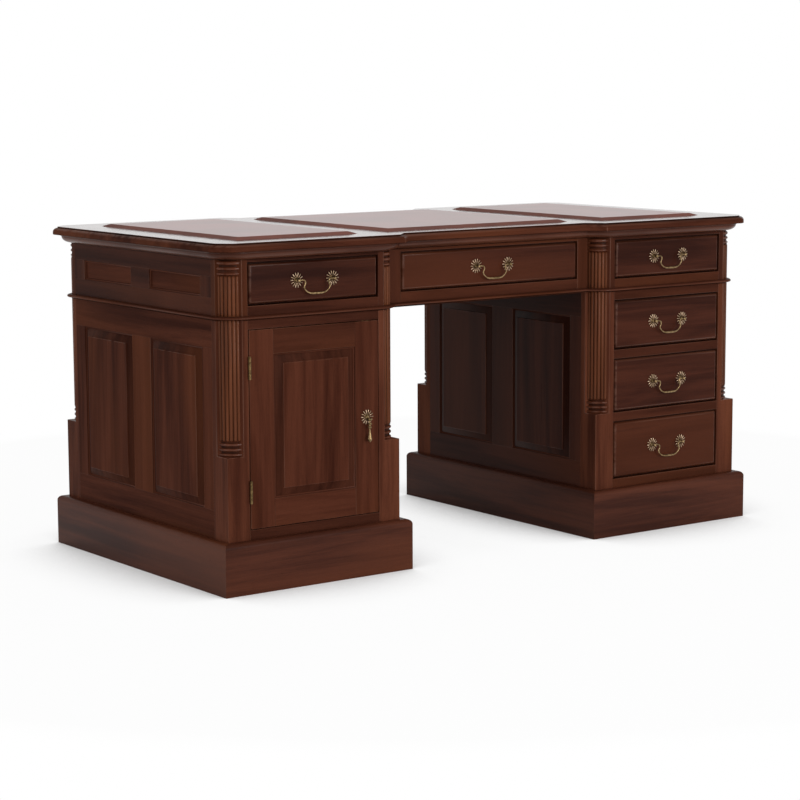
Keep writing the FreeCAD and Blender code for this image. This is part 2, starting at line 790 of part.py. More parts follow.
def drawer(kind, half_opening, height, length):
    """A drawer in its own frame: y = 0 in the face of the carcase, z = 0 at the foot of the opening."""
    body = doc.addObject("PartDesign::Body", f"{kind}_front")
    half_slab = f"{half_opening} - drawer_gap"
    up = ("drawer_gap", f"{height} - drawer_gap")
    slab = sketch_on(body, "XZ_Plane", f"{kind}_slab_outline", "-front_recess")
    polygon(slab, rectangle((f"-({half_slab})", half_slab), up))
    pad(body, f"{kind}_slab", slab, "front_thickness", reverse=True)
    field = sketch_on(body, "XZ_Plane", f"{kind}_field_outline", "-front_recess")
    half_field = f"{half_slab} - front_border"
    rise = (f"{up[0]} + front_border", f"{up[1]} - front_border")
    polygon(field, rectangle((f"-({half_field})", half_field), rise))
    raised = pad(body, f"{kind}_field", field, "front_recess + front_proud")
    face = -size("front_proud")
    round_over(
        body, f"{kind}_edge", raised, "front_radius", lambda ends: all(abs(end.y - face) < NEAR for end in ends)
    )

    back_of_front = "front_recess + front_thickness"
    outer = f"{half_opening} - side_gap"
    inner = f"{outer} - drawer_board"
    rise = ("run_gap", f"{height} - drawer_headroom")
    inside = (f"-({inner})", inner)
    boards = [body]
    for sign, side in ((-1, "left"), (1, "right")):
        boards.append(board(f"{kind}_side_{side}", span(sign, inner, outer), (back_of_front, length), rise))
    boards.append(board(f"{kind}_back", inside, (f"{length} - drawer_board", length), rise))
    bottom = ("drawer_bottom", "2 * drawer_bottom")
    boards.append(board(f"{kind}_bottom", inside, (back_of_front, f"{length} - drawer_board"), bottom))
    return boards


def handle_plates():
    """Two rosettes with posts, in a frame with y = 0 in the face that they are fixed to."""
    plates = []
    for sign, side in ((-1, "left"), (1, "right")):
        x = signed(sign, "handle_pitch / 2")
        foot = (x, "0", "0")
        plate = fuse(
            f"plate_{side}_solid",
            [
                peg(f"rosette_{side}", "rosette_radius", "rosette_thickness", foot),
                peg(f"boss_{side}", "boss_radius", "rosette_thickness + boss_thickness", foot),
                peg(f"post_{side}", "post_radius", "post_reach", foot),
                ball(f"ball_{side}", "ball_radius", (x, "-post_reach", "0")),
            ],
        )
        through = (f"{x} - 2 * ball_radius", f"{x} + 2 * ball_radius")
        eye = crossbar(f"eye_{side}", "bail_pin + pin_play", through, ("-post_reach", "0"))
        plates.append(cut(f"plate_{side}", plate, eye))
    return plates


def elbow(name, bend, radius, at, start):
    """A quarter bend in an upright plane across the front, from an angle counted from +X towards +Z."""
    torus = doc.addObject("Part::Torus", name)
    bind(torus, Radius1=bend, Radius2=radius)
    torus.Angle3 = 90
    place(torus, at)
    upright = FreeCAD.Rotation(FreeCAD.Vector(1, 0, 0), 90)
    torus.Placement.Rotation = upright.multiply(FreeCAD.Rotation(FreeCAD.Vector(0, 0, 1), start))
    return torus


def bail():
    """A swan-neck bail of round bar, its ends pinned in the balls of the posts and its grip swollen."""
    pieces = []
    turn_in = "bail_neck + neck_bend"
    turn_out = "bail_neck - foot_bend"
    for sign, side in ((-1, "left"), (1, "right")):
        pin_across = span(sign, turn_in, "handle_pitch / 2 + pin_end")
        neck_at = (signed(sign, turn_in), "0", "-neck_bend")
        foot_at = (signed(sign, turn_out), "0", "foot_bend - bail_drop")
        leg_at = (signed(sign, "bail_neck"), "0", "foot_bend - bail_drop")
        taper_at = (signed(sign, "grip_half"), "0", "-bail_drop")
        pieces += [
            crossbar(f"bail_pin_{side}", "bail_pin", pin_across),
            elbow(f"bail_neck_{side}", "neck_bend", "bail_pin", neck_at, 90 if sign > 0 else 0),
            rod(f"bail_leg_{side}", "bail_pin", "bail_drop - foot_bend - neck_bend", leg_at),
            elbow(f"bail_foot_{side}", "foot_bend", "bail_pin", foot_at, -90 if sign > 0 else 180),
            cone(f"grip_{side}", "grip_radius", "bail_pin / 2", "grip_taper", taper_at, (0, 1, 0), sign * 90),
        ]
    low = ("0", "-bail_drop")
    pieces.append(crossbar("bail_bar", "bail_pin", (f"-({turn_out})", turn_out), low))
    pieces.append(crossbar("bail_grip", "grip_radius", ("-grip_half", "grip_half"), low))
    return group("bail_placed", [fuse("bail_master", pieces)], ("0", "-post_reach", "0"))


# end of the desk that a drawer opens to: direction of the face in Y and turn of the drawer
ENDS = {"front": (-1, 0), "back": (1, 180)}


def drawers():
    """All twelve drawers, each with its handle plates and its bail. Gives them by name."""
    masters = {
        "frieze": drawer("frieze_drawer", "half_opening", "frieze_drawer", "drawer_length"),
        "centre": drawer("centre_drawer", "centre_opening_half", "centre_drawer", "centre_drawer_length"),
    }
    for name, (_, height) in DRAWER_LEVELS.items():
        masters[name] = drawer(f"{name}_drawer", "half_opening", height, "drawer_length")
    # place of each drawer as someone who sits at its end sees it: master, X, face in Y, level, height
    places = {
        "frieze_left": ("frieze", "-(centre_line)", "half_depth", "frieze_level", "frieze_drawer"),
        "frieze_centre": ("centre", "0", "centre_plane", "centre_level", "centre_drawer"),
        "frieze_right": ("frieze", "centre_line", "half_depth", "frieze_level", "frieze_drawer"),
    }
    for name, (level, height) in DRAWER_LEVELS.items():
        places[f"pedestal_{name}"] = (name, "centre_line", "half_depth", level, height)
    plates = handle_plates()
    hanging = bail()
    nodes = []
    for end, (sign, turn) in ENDS.items():
        for name, (master, across, face, level, height) in places.items():
            x = signed(-sign, across)
            y = signed(sign, face)
            handle_at = (x, signed(sign, f"{face} + front_proud"), f"{level} + {height} / 2 + handle_rise")
            label = f"{end}_{name}"
            nodes.append(group(f"{label}_drawer", masters[master], (x, y, level), turn))
            nodes.append(group(f"{label}_handle_plates", plates, handle_at, turn))
            nodes.append(group(f"{label}_bail", [hanging], handle_at, turn))
    return nodes


# Doors ---------------------------------------------------------------------------------------------


def door_frame():
    """Two stiles and two rails: x = 0 in the middle of the opening, hinges on the -X side."""
    thick = ("0", "door_thickness")
    up = ("bottom_level + drawer_gap", "door_top - drawer_gap")
    inner = "half_opening - door_stile"
    across = (f"-({inner})", inner)
    return [
        board("door_hinge_stile", ("hinge_gap - half_opening", f"-({inner})"), thick, up),
        board("door_lock_stile", (inner, "half_opening - drawer_gap"), thick, up),
        board("door_foot_rail", across, thick, (up[0], "door_foot")),
        board("door_head_rail", across, thick, ("door_head", up[1])),
    ]


def hinge_half(name, height, knuckles, side, with_pin):
    """Half a butt hinge: a leaf in the gap beside the door, and its knuckles round the pin."""
    near = f"hinge_x + {side} * hinge_play"
    far = f"hinge_x + {side} * hinge_gap / 2"
    across = (near, far) if side > 0 else (far, near)
    foot = f"{height} - hinge_length / 2"
    leaf_start = "hinge_y + knuckle_radius + 2 * hinge_play"
    pieces = [board(f"{name}_leaf", across, (leaf_start, "leaf_width"), (foot, f"{foot} + hinge_length"))]
    for number in knuckles:
        low = f"{foot} + {number} * knuckle_length + hinge_play"
        length = "knuckle_length - 2 * hinge_play"
        pieces.append(rod(f"{name}_knuckle_{number}", "knuckle_radius", length, ("hinge_x", "hinge_y", low)))
        web = board(f"{name}_web_{number}", across, ("hinge_y", leaf_start), (low, f"{low} + {length}"))
        pieces.append(web)
    pin_radius = "hinge_pin" if with_pin else "hinge_pin + pin_play"
    pin = rod(f"{name}_pin", pin_radius, "hinge_length", ("hinge_x", "hinge_y", foot))
    if with_pin:
        return fuse(name, [*pieces, pin])
    return cut(name, fuse(f"{name}_solid", pieces), pin)


def drop_plate():
    """A rosette with a forked post and a cross pin for the drop, in the door's own frame."""
    post = peg("fork_bar", "fork_radius", "post_reach + fork_radius", ("drop_x", "0", "drop_pin_height"))
    slot_across = ("drop_x - fork_slot_half", "drop_x + fork_slot_half")
    slot_up = ("drop_pin_height - 2 * fork_radius", "drop_pin_height + 2 * fork_radius")
    slot = board("fork_slot", slot_across, ("-2 * post_reach", "-post_reach / 2"), slot_up)
    pin_across = ("drop_x - fork_radius + hinge_play", "drop_x + fork_radius - hinge_play")
    pieces = [
        peg("drop_rosette", "rosette_radius", "rosette_thickness", ("drop_x", "0", "drop_plate_height")),
        cut("fork", post, slot),
        crossbar("drop_pin", "hinge_pin", pin_across, ("-post_reach", "drop_pin_height")),
    ]
    return fuse("drop_plate_master", pieces)


def drop():
    """A turned drop: an eye round the cross pin, a stem with a collar and a knop, and a cone down to a bulb."""
    eye_half = "(fork_slot_half - 2 * hinge_play)"
    pin_at = ("-post_reach", "drop_pin_height")
    bulb_at = ("drop_x", "-post_reach", "drop_pin_height - bulb_drop")
    turned = [
        crossbar("drop_eye_round", "drop_eye", (f"drop_x - {eye_half}", f"drop_x + {eye_half}"), pin_at),
        rod("drop_stem_bar", "drop_stem", "bulb_drop - drop_eye / 2", bulb_at),
        cone("drop_cone", "bulb_radius", "drop_stem / 2", "bulb_drop - cone_drop", bulb_at),
        ball("drop_bulb", "bulb_radius", bulb_at),
    ]
    for name, radius, fall in (("collar", "collar_radius", "collar_drop"), ("knop", "knop_radius", "knop_drop")):
        at = ("drop_x", "-post_reach", f"drop_pin_height - {fall}")
        turned.append(rod(f"drop_{name}", radius, "collar_thickness", at))
    bore_across = (f"drop_x - 2 * {eye_half}", f"drop_x + 2 * {eye_half}")
    bore = crossbar("drop_bore", "hinge_pin + pin_play", bore_across, pin_at)
    return cut("drop_master", fuse("drop_solid", turned), bore)


def doors():
    """Both cupboard doors: the left pedestal opens to the front, the right one to the back."""
    frame = door_frame()
    middle_half = "half_opening - door_stile"
    panel = raised_panel("door_panel_master", middle_half, "door_foot", "door_head")
    heights = {"high": "hinge_high", "low": "hinge_low"}
    fixed = [hinge_half(f"fixed_leaf_{name}", height, (0, 2), -1, True) for name, height in heights.items()]
    moving = [hinge_half(f"moving_leaf_{name}", height, (1,), 1, False) for name, height in heights.items()]
    catch_across = ("drop_x - catch_half", "drop_x + catch_half")
    catch_up = ("door_top - catch_thickness", "door_top")
    catch = board("catch_plate", catch_across, ("door_thickness / 4", "door_thickness"), catch_up)
    sets = {
        "door_frame": frame,
        "door_panel": [panel],
        "door_hinge_leaves": moving,
        "door_drop_plate": [drop_plate()],
        "door_drop": [drop()],
    }
    nodes = []
    fixed_parts = []
    for end, (sign, turn) in ENDS.items():
        at = (signed(sign, "centre_line"), signed(sign, "half_depth"), "0")
        nodes += [group(f"{end}_{name}", members, at, turn) for name, members in sets.items()]
        fixed_parts.append(group(f"{end}_fixed_door_parts", [*fixed, catch], at, turn))
    nodes.append(group("door_fixed_brass", fixed_parts))
    return nodes


# Building and writing ------------------------------------------------------------------------------


def check(nodes):
    """Stop before anything is written if an object failed or a sub-part isn't sound."""
    for thing in doc.Objects:
        assert "Invalid" not in thing.State and "Error" not in thing.State, f"{thing.Name}: {thing.State}"
    for node in nodes:
        shape = node.Shape
        assert not shape.isNull() and shape.isValid() and shape.Solids, f"{node.Label} isn't sound"


def write(nodes):
    os.makedirs("parts", exist_ok=True)
    for node in nodes:
        Part.makeCompound(node.Shape.Solids).exportStep(f"parts/{node.Label}.step")


def build():
    right_boards = pedestal_boards()
    nodes = [
        top_board(),
        leather_panels(),
        bed_moulding(),
        frieze_frame(),
        waist_bead(),
        corner_posts(),
        corner_columns(),
        group("right_pedestal", right_boards),
        group("left_pedestal", right_boards, turn=180),
        side_panels(),
        plinths(),
        drawer_runners(),
        shelves(),
        *drawers(),
        *doors(),
    ]
    doc.recompute()
    check(nodes)
    write(nodes)
    solids = sum(len(node.Shape.Solids) for node in nodes)
    print(f"{len(nodes)} nodes, {solids} solids")


build()
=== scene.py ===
"""Partners desk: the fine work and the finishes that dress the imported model.

Metres, +Z up. The origin is on the floor under the middle of the desk and -Y is the front. Boards keep the
solids of the model, with eased edges and a grain of their own. Columns, mouldings, leather and handles are
made anew in the place of theirs.
"""

import json
import math
import random

import bmesh
import bpy
from mathutils import Matrix, Vector
from mathutils.bvhtree import BVHTree


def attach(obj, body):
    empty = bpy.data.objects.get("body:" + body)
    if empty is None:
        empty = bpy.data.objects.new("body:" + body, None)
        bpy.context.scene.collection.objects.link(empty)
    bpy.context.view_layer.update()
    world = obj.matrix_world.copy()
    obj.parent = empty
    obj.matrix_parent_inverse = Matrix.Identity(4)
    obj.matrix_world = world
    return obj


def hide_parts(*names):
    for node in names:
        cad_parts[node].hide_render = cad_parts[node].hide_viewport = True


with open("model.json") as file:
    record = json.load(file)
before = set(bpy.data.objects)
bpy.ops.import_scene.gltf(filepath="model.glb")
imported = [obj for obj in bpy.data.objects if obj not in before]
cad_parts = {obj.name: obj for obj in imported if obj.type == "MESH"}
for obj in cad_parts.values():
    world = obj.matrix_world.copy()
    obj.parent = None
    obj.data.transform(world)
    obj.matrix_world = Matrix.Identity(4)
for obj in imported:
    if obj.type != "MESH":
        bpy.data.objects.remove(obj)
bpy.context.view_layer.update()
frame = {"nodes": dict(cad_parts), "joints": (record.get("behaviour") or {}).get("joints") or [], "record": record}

NODES = frame["nodes"]
BODIES = frame["record"]["behaviour"]["bodies"]
BODY_OF = {node: body for body, members in BODIES.items() for node in members}
JOINTS = {joint["name"]: joint for joint in frame["joints"]}
MM = 0.001


# Node trees -------------------------------------------------


class Wire:
    """An output in a node tree. Arithmetic on it adds Math nodes to the tree."""

    def __init__(self, graph, socket):
        self.graph = graph
        self.socket = socket

    def math(self, operation, *others):
        return self.graph.node("ShaderNodeMath", {"operation": operation}, dict(enumerate((self, *others))))

    def __add__(self, other):
        return self.math("ADD", other)

    def __sub__(self, other):
        return self.math("SUBTRACT", other)

    def __rsub__(self, other):
        return self.math("MULTIPLY_ADD", -1, other)

    def __mul__(self, other):
        return self.math("MULTIPLY", other)

    def __truediv__(self, other):
        return self.math("DIVIDE", other)

    __radd__ = __add__
    __rmul__ = __mul__

    def ramp(self, low, high):
        """0 up to low, 1 from high, and smooth in between."""
        inputs = {"Value": self, "From Min": low, "From Max": high}
        return self.graph.node("ShaderNodeMapRange", {"interpolation_type": "SMOOTHSTEP"}, inputs)

    def output(self, name):
        return Wire(self.graph, self.socket.node.outputs[name])


class Graph:
    """A node tree that is being built."""

    def __init__(self, tree):
        self.tree = tree

    def node(self, kind, settings=None, inputs=None, output=0):
        """Add a node: its settings first, then a value or a link for each of its sockets."""
        made = self.tree.nodes.new(kind)
        for name, value in (settings or {}).items():
            setattr(made, name, value)
        for key, value in (inputs or {}).items():
            if isinstance(value, Wire):
                self.tree.links.new(value.socket, made.inputs[key])
            else:
                made.inputs[key].default_value = value
        return Wire(self, made.outputs[output])


class Finish(Graph):
    """A material with one Principled shader, whose constant values are set on its own sockets."""

    def __init__(self, name, **constants):
        self.material = bpy.data.materials.new(name)
        self.material.use_nodes = True
        super().__init__(self.material.node_tree)
        self.shader = self.tree.nodes["Principled BSDF"]
        for key, value in constants.items():
            self.shader.inputs[key.replace("_", " ")].default_value = value

    def attribute(self, name, output="Fac"):
        return self.node("ShaderNodeAttribute", {"attribute_name": name}).output(output)

    def scaled(self, vector, factors):
        return self.node("ShaderNodeVectorMath", {"operation": "MULTIPLY"}, {0: vector, 1: factors})

    def noise(self, vector, factors, detail=2.0, distortion=0.0):
        """Noise on a vector that is stretched by a factor along each axis."""
        inputs = {
            "Vector": self.scaled(vector, factors),
            "Scale": 1.0,
            "Detail": detail,
            "Distortion": distortion,
        }
        return self.node("ShaderNodeTexNoise", None, inputs)

    def blend(self, factor, low, high):
        return self.node("ShaderNodeMix", {"data_type": "RGBA"}, {0: factor, 6: low, 7: high}, output=2)

    def wear(self, distance=0.0001, **varying):
        """Link what varies over the surface, and give the material. A height becomes a bump."""
        if "height" in varying:
            inputs = {"Height": varying.pop("height"), "Distance": distance, "Strength": 1.0}
            varying["Normal"] = self.node("ShaderNodeBump", None, inputs)
        for key, value in varying.items():
            self.tree.links.new(value.socket, self.shader.inputs[key.replace("_", " ")])
        return self.material


# Finishes ---------------------------------------------------


# the wood before it is stained and what lies in it, the paler colour of worn edges that is also a painted
# highlight, and painted shade
DARK_GROUND = (0.0360, 0.0098, 0.0054)
LIGHT_GROUND = (0.0980, 0.0296, 0.0158)
WARM_STREAK = (0.1200, 0.0350, 0.0140)
DARK_HEART = (0.0230, 0.0070, 0.0044)
PORE = (0.0120, 0.0036, 0.0022, 1)
RUBBED_HIGHLIGHT = (0.1450, 0.0540, 0.0280, 1)
PAINTED_SHADE = (0.0060, 0.0026, 0.0020, 1)


def stained(color, stain):
    """A colour under a stain, with full alpha."""
    return (*(part * share for part, share in zip(color, stain)), 1)


def mahogany(name, stain=(1.0, 1.0, 1.0), polish=0.3, depth_of_pores=0.00005, **constants):
    """Stained mahogany with a quiet figure and open pores.

    Where the attribute arris is above 0 the wood is worn paler with a painted highlight, and below 0 it is
    darkened with painted shade.
    """
    paint = Finish(name, Coat_Roughness=0.18, **constants)
    grain = paint.attribute("grain", "Vector")
    tone = paint.attribute("tone")
    figure = paint.noise(grain, (1.3, 13.0, 13.0), detail=4.0, distortion=1.0)
    ribbon = paint.noise(grain, (3.0, 70.0, 70.0), detail=3.0, distortion=0.4)
    fibre = paint.noise(grain, (22.0, 800.0, 800.0), detail=2.0)
    warmth = paint.noise(grain, (0.9, 4.0, 4.0), detail=2.0)
    pores = paint.noise(grain, (90.0, 2300.0, 2300.0), detail=1.0).ramp(0.60, 0.72)
    depth = figure * 0.60 + ribbon * 0.26 + fibre * 0.14 + tone * 0.06
    ground = paint.blend(depth.ramp(0.34, 0.66), stained(DARK_GROUND, stain), stained(LIGHT_GROUND, stain))
    ground = paint.blend(warmth.ramp(0.45, 0.70) * 0.6, ground, stained(WARM_STREAK, stain))
    heart = (figure + tone * 0.1).ramp(0.62, 0.80)
    ground = paint.blend(heart * 0.40, ground, stained(DARK_HEART, stain))
    ground = paint.blend(pores * 0.35, ground, PORE)
    arris = paint.attribute("arris")
    # above 0, arris gives a paler worn colour that is also a painted highlight
    wear_and_painted_light = arris.math("MAXIMUM", 0.0) * ribbon.ramp(0.30, 0.60)
    color = paint.blend(wear_and_painted_light * 0.45, ground, RUBBED_HIGHLIGHT)
    # below 0, arris gives painted shade
    color = paint.blend(arris * -0.85, color, PAINTED_SHADE)
    roughness = ribbon * 0.10 + constants["Roughness"] + pores * 0.10 - 0.05
    height = 1 - pores + fibre * 0.3
    varying = {"Base_Color": color, "Roughness": roughness, "Coat_Weight": wear_and_painted_light * polish}
    return paint.wear(depth_of_pores, height=height, **varying)


def plain_wood(name, **constants):
    """The unpolished hardwood of drawer boxes, runners and shelves."""
    paint = Finish(name, **constants)
    grain = paint.attribute("grain", "Vector")
    figure = paint.noise(grain, (2.0, 26.0, 26.0), detail=4.0, distortion=0.8)
    fibre = paint.noise(grain, (22.0, 700.0, 700.0), detail=2.0)
    depth = figure * 0.7 + fibre * 0.3 + paint.attribute("tone") * 0.15
    color = paint.blend(depth.ramp(0.30, 0.75), (0.150, 0.070, 0.034, 1), (0.330, 0.185, 0.095, 1))
    return paint.wear(0.00005, Base_Color=color, Roughness=fibre * 0.2 + 0.5, height=fibre)


# distances from the border of a leather between which its field and its gilt line begin and end
FIELD_STARTS = (0.0158, 0.0164)
LINE_STARTS = (0.0166, 0.0170)
LINE_ENDS = (0.0186, 0.0190)


def tooled_leather(name, **constants):
    """Waxed leather, dull on its sloping edge and polished in its field, which a gilt line runs round."""
    paint = Finish(name, **constants)
    point = paint.node("ShaderNodeTexCoord").output("Object")
    inset = paint.attribute("inset")
    pebbles = paint.node("ShaderNodeTexVoronoi", None, {"Vector": point, "Scale": 900.0})
    patina = paint.noise(point, (5.0, 5.0, 5.0), detail=4.0, distortion=0.5)
    field = inset.ramp(*FIELD_STARTS)
    line = inset.ramp(*LINE_STARTS) * (1 - inset.ramp(*LINE_ENDS))
    border = paint.blend(patina.ramp(0.35, 0.65), (0.125, 0.036, 0.024, 1), (0.175, 0.052, 0.034, 1))
    middle = paint.blend(patina.ramp(0.35, 0.65), (0.210, 0.062, 0.052, 1), (0.295, 0.096, 0.083, 1))
    color = paint.blend(field, border, middle)
    color = paint.blend(line * 0.6, color, (0.300, 0.190, 0.080, 1))
    roughness = 0.78 - field * 0.43 + patina * 0.06
    height = pebbles * (1 - field * 0.7) * 0.3 - line * 0.5
    return paint.wear(0.0002, Base_Color=color, Roughness=roughness, Coat_Weight=field * 0.7, height=height)


def aged_brass(name, dark, light, **constants):
    """Cast brass with a brown patina that is worn thin in patches."""
    paint = Finish(name, **constants)
    point = paint.node("ShaderNodeTexCoord").output("Object")
    cloud = paint.noise(point, (160.0, 160.0, 160.0), detail=4.0, distortion=0.5)
    pits = paint.noise(point, (1500.0, 1500.0, 1500.0), detail=2.0)
    color = paint.blend(cloud.ramp(0.38, 0.62), dark, light)
    color = paint.blend(pits.ramp(0.55, 0.75) * 0.6, color, (0.060, 0.036, 0.016, 1))
    return paint.wear(0.00005, Base_Color=color, Roughness=cloud * 0.2 + 0.26, height=cloud + pits * 0.5)


SATIN = mahogany("satin_mahogany", Roughness=0.30, IOR=1.05)
DARKER = mahogany("darker_mahogany", stain=(0.72, 0.70, 0.70), Roughness=0.30, IOR=1.08)
HAZY = mahogany("hazy_mahogany", stain=(0.95, 0.90, 0.85), polish=0.6, Roughness=0.34, IOR=1.17)
PALER = mahogany("paler_mahogany", stain=(1.45, 1.50, 1.45), Roughness=0.30, IOR=1.07)
REEDED = mahogany("reeded_mahogany", stain=(1.50, 1.55, 1.20), Roughness=0.30, IOR=1.12)
TURNED = mahogany("turned_mahogany", stain=(1.15, 1.05, 0.85), polish=1.0, Roughness=0.26, IOR=1.10)
FRONTS = mahogany("dark_mahogany", stain=(0.66, 0.61, 0.61), polish=0.45, Roughness=0.30, IOR=1.12)
POLISHED = mahogany("polished_mahogany", depth_of_pores=0.000005, Roughness=0.10, IOR=1.7, Coat_IOR=1.7)
INNER = plain_wood("plain_hardwood", IOR=1.3)
LEATHER = tooled_leather("tooled_leather", IOR=1.5, Coat_Roughness=0.30)
BRASS = aged_brass("aged_brass", (0.170, 0.112, 0.052, 1), (0.350, 0.240, 0.122, 1), Metallic=1.0)
WORN_BRASS = aged_brass("worn_brass", (0.300, 0.205, 0.125, 1), (0.620, 0.450, 0.310, 1), Metallic=1.0)
DULL_BRASS = aged_brass("dull_brass", (0.080, 0.048, 0.020, 1), (0.170, 0.110, 0.046, 1), Metallic=1.0)


# Meshes -----------------------------------------------------


def add_piece(name, mesh, material, body, slot, *stood_for):
    """Put a finished mesh into the scene as a piece of the desk that rides on a body."""
    mesh.name = name
    if material:
        mesh.materials.clear()
        mesh.materials.append(material)
    piece = bpy.data.objects.new(name, mesh)
    bpy.context.scene.collection.objects.link(piece)
    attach(piece, body)
    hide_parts(*stood_for)


def evaluated(thing):
    """A plain mesh of what an object's modifiers or curve make, without the object."""
    graph = bpy.context.evaluated_depsgraph_get()
    mesh = bpy.data.meshes.new_from_object(thing.evaluated_get(graph))
    bpy.data.objects.remove(thing)
    return mesh


def store(mesh, name, kind, domain, values):
    """Write an attribute that a finish reads; vectors come as one flat list of numbers."""
    data = mesh.attributes.new(name, kind, domain).data
    data.foreach_set("vector" if kind == "FLOAT_VECTOR" else "value", values)


def linked(name, data):
    """A new object in the scene."""
    thing = bpy.data.objects.new(name, data)
    bpy.context.scene.collection.objects.link(thing)
    return thing


# Boards -----------------------------------------------------


def split_solids(mesh):
    """The triangles of a mesh, solid by solid. A solid is whole when every edge has met its match."""
    places = [tuple(round(number, 6) for number in vertex.co) for vertex in mesh.vertices]
    solid = []
    unmet = set()
    for triangle in mesh.polygons:
        corners = [places[index] for index in triangle.vertices]
        if len(set(corners)) < 3:
            continue
        solid.append(corners)
        for edge in zip(corners, corners[1:] + corners[:1]):
            if edge[::-1] in unmet:
                unmet.remove(edge[::-1])
            else:
                unmet.add(edge)
        if not unmet:
            yield solid
            solid = []


def whole_faces(solid):
    """One solid as a bmesh whose flat faces are whole again."""
    bm = bmesh.new()
    corners = dict.fromkeys(corner for triangle in solid for corner in triangle)
    vertices = {corner: bm.verts.new(corner) for corner in corners}
    for triangle in solid:
        bm.faces.new([vertices[corner] for corner in triangle])
    bm.normal_update()
    flat = math.radians(0.4)
    bmesh.ops.dissolve_limit(bm, angle_limit=flat, verts=bm.verts[:], edges=bm.edges[:])
    bm.normal_update()
    return bm


# a ray that isn't parallel to any face of the desk tells inside from outside
RAY = Vector((0.31, 0.23, 0.92)).normalized()
RAY_GAP = 1e-6
MOST_HITS = 20


class Board:
    """One solid of a wooden node, with its box and a tree to tell what lies inside it."""

    def __init__(self, solid):
        self.bm = whole_faces(solid)
        points = [vertex.co for vertex in self.bm.verts]
        self.low = Vector([min(point[axis] for point in points) for axis in range(3)])
        self.high = Vector([max(point[axis] for point in points) for axis in range(3)])
        self.tree = BVHTree.FromBMesh(self.bm)

    def holds(self, point):
        if any(not low < value < high for low, value, high in zip(self.low, point, self.high)):
            return False
        hits = 0
        place = self.tree.ray_cast(point, RAY)[0]
        while place is not None and hits < MOST_HITS:
            hits += 1
            place = self.tree.ray_cast(place + RAY * RAY_GAP, RAY)[0]
        return hits % 2 == 1


# the rounding of an arris, the share of it where boards meet, and how far beside an edge a board is felt for
ARRIS = 1.1 * MM
BOX_ARRIS = 0.6 * MM
JOINT_SHARE = 0.22
PROBE = 0.7 * MM
SHARP = math.radians(32)
# the material slot that marks rounded arrises until their attribute is written
ARRIS_SLOT = 1
# how far apart boards of a tree may start, along the grain and across it, and how much their tones differ
GRAIN_SPANS = (9, 4, 4)
TONE_SPREAD = 0.5


def weigh_edges(board, neighbours):
    """Give a full weight to the arrises that stand free, and a small one where a board meets another."""
    weight = board.bm.edges.layers.float.new("bevel_weight_edge")
    for edge in board.bm.edges:
        if len(edge.link_faces) != 2 or edge.calc_face_angle(0) < SHARP or not edge.is_convex:
            continue
        middle = (edge.verts[0].co + edge.verts[1].co) / 2
        first, second = (face.normal for face in edge.link_faces)
        probes = (middle + (first - second) * PROBE, middle + (second - first) * PROBE)
        met = any(neighbour.holds(probe) for probe in probes for neighbour in neighbours)
        edge[weight] = JOINT_SHARE if met else 1.0


def lay_grain(mesh, boxes, seed):
    """Grain runs along the length of each board, at a place in the tree and with a tone of its own."""
    rng = random.Random(seed)
    frames = []
    for low, high in boxes:
        reach = [high[axis] - low[axis] for axis in range(3)]
        order = sorted(range(3), key=lambda axis: -reach[axis])
        start = Vector([rng.uniform(0, span) for span in GRAIN_SPANS])
        frames.append((order, start, rng.uniform(-TONE_SPREAD, TONE_SPREAD)))
    label = [item.value for item in mesh.attributes["board"].data]
    board_of = [0] * len(mesh.vertices)
    for face in mesh.polygons:
        for index in face.vertices:
            board_of[index] = label[face.index]
    grain = []
    for vertex, number in zip(mesh.vertices, board_of):
        order, start, _ = frames[number]
        grain.extend(Vector([vertex.co[axis] for axis in order]) + start)
    store(mesh, "grain", "FLOAT_VECTOR", "POINT", grain)
    store(mesh, "tone", "FLOAT", "POINT", [frames[number][2] for number in board_of])
    # rounded arrises get 1: worn paler with a painted highlight
    arrises = [float(face.material_index == ARRIS_SLOT) for face in mesh.polygons]
    store(mesh, "arris", "FLOAT", "FACE", arrises)
    mesh.polygons.foreach_set("material_index", [0] * len(mesh.polygons))


def ease_boards(name, boards, neighbours, width=ARRIS):
    """Boards as one mesh with rounded arrises, fine joint lines and their own grain."""
    whole = bmesh.new()
    for number, board in enumerate(boards):
        weigh_edges(board, [other for other in neighbours if other is not board])
        label = board.bm.faces.layers.int.new("board")
        for face in board.bm.faces:
            face[label] = number
            face.smooth = True
        step = bpy.data.meshes.new("board_step")
        board.bm.to_mesh(step)
        whole.from_mesh(step)
        bpy.data.meshes.remove(step)
    mesh = bpy.data.meshes.new(name)
    whole.to_mesh(mesh)
    whole.free()
    mesh.materials.append(None)
    mesh.materials.append(None)
    thing = linked(name, mesh)
    rounding = thing.modifiers.new("rounding", "BEVEL")
    rounding.limit_method = "WEIGHT"
    rounding.width = width
    rounding.segments = 2
    rounding.material = ARRIS_SLOT
    rounding.harden_normals = True
    eased = evaluated(thing)
    lay_grain(eased, [(board.low, board.high) for board in boards], name)
    return eased


# what the attribute arris is set to on the faces of some boards: below 0 painted shade, above 0 worn paler with a
# painted highlight
STEP_SHADE = -1.0
UNDERSIDE_SHADE = -0.6
EDGE_RUB_AND_HIGHLIGHT = 0.6
REBATE_SHADE = -0.8
LIP_RUB_AND_HIGHLIGHT = 0.8
BEVEL_SHADE = -0.4

TOP_FACE = 779 * MM
TOP_STEP = 776 * MM
REBATE_DEPTH = 7.6 * MM
LIP_DEPTHS = (0.2 * MM, 7.5 * MM)


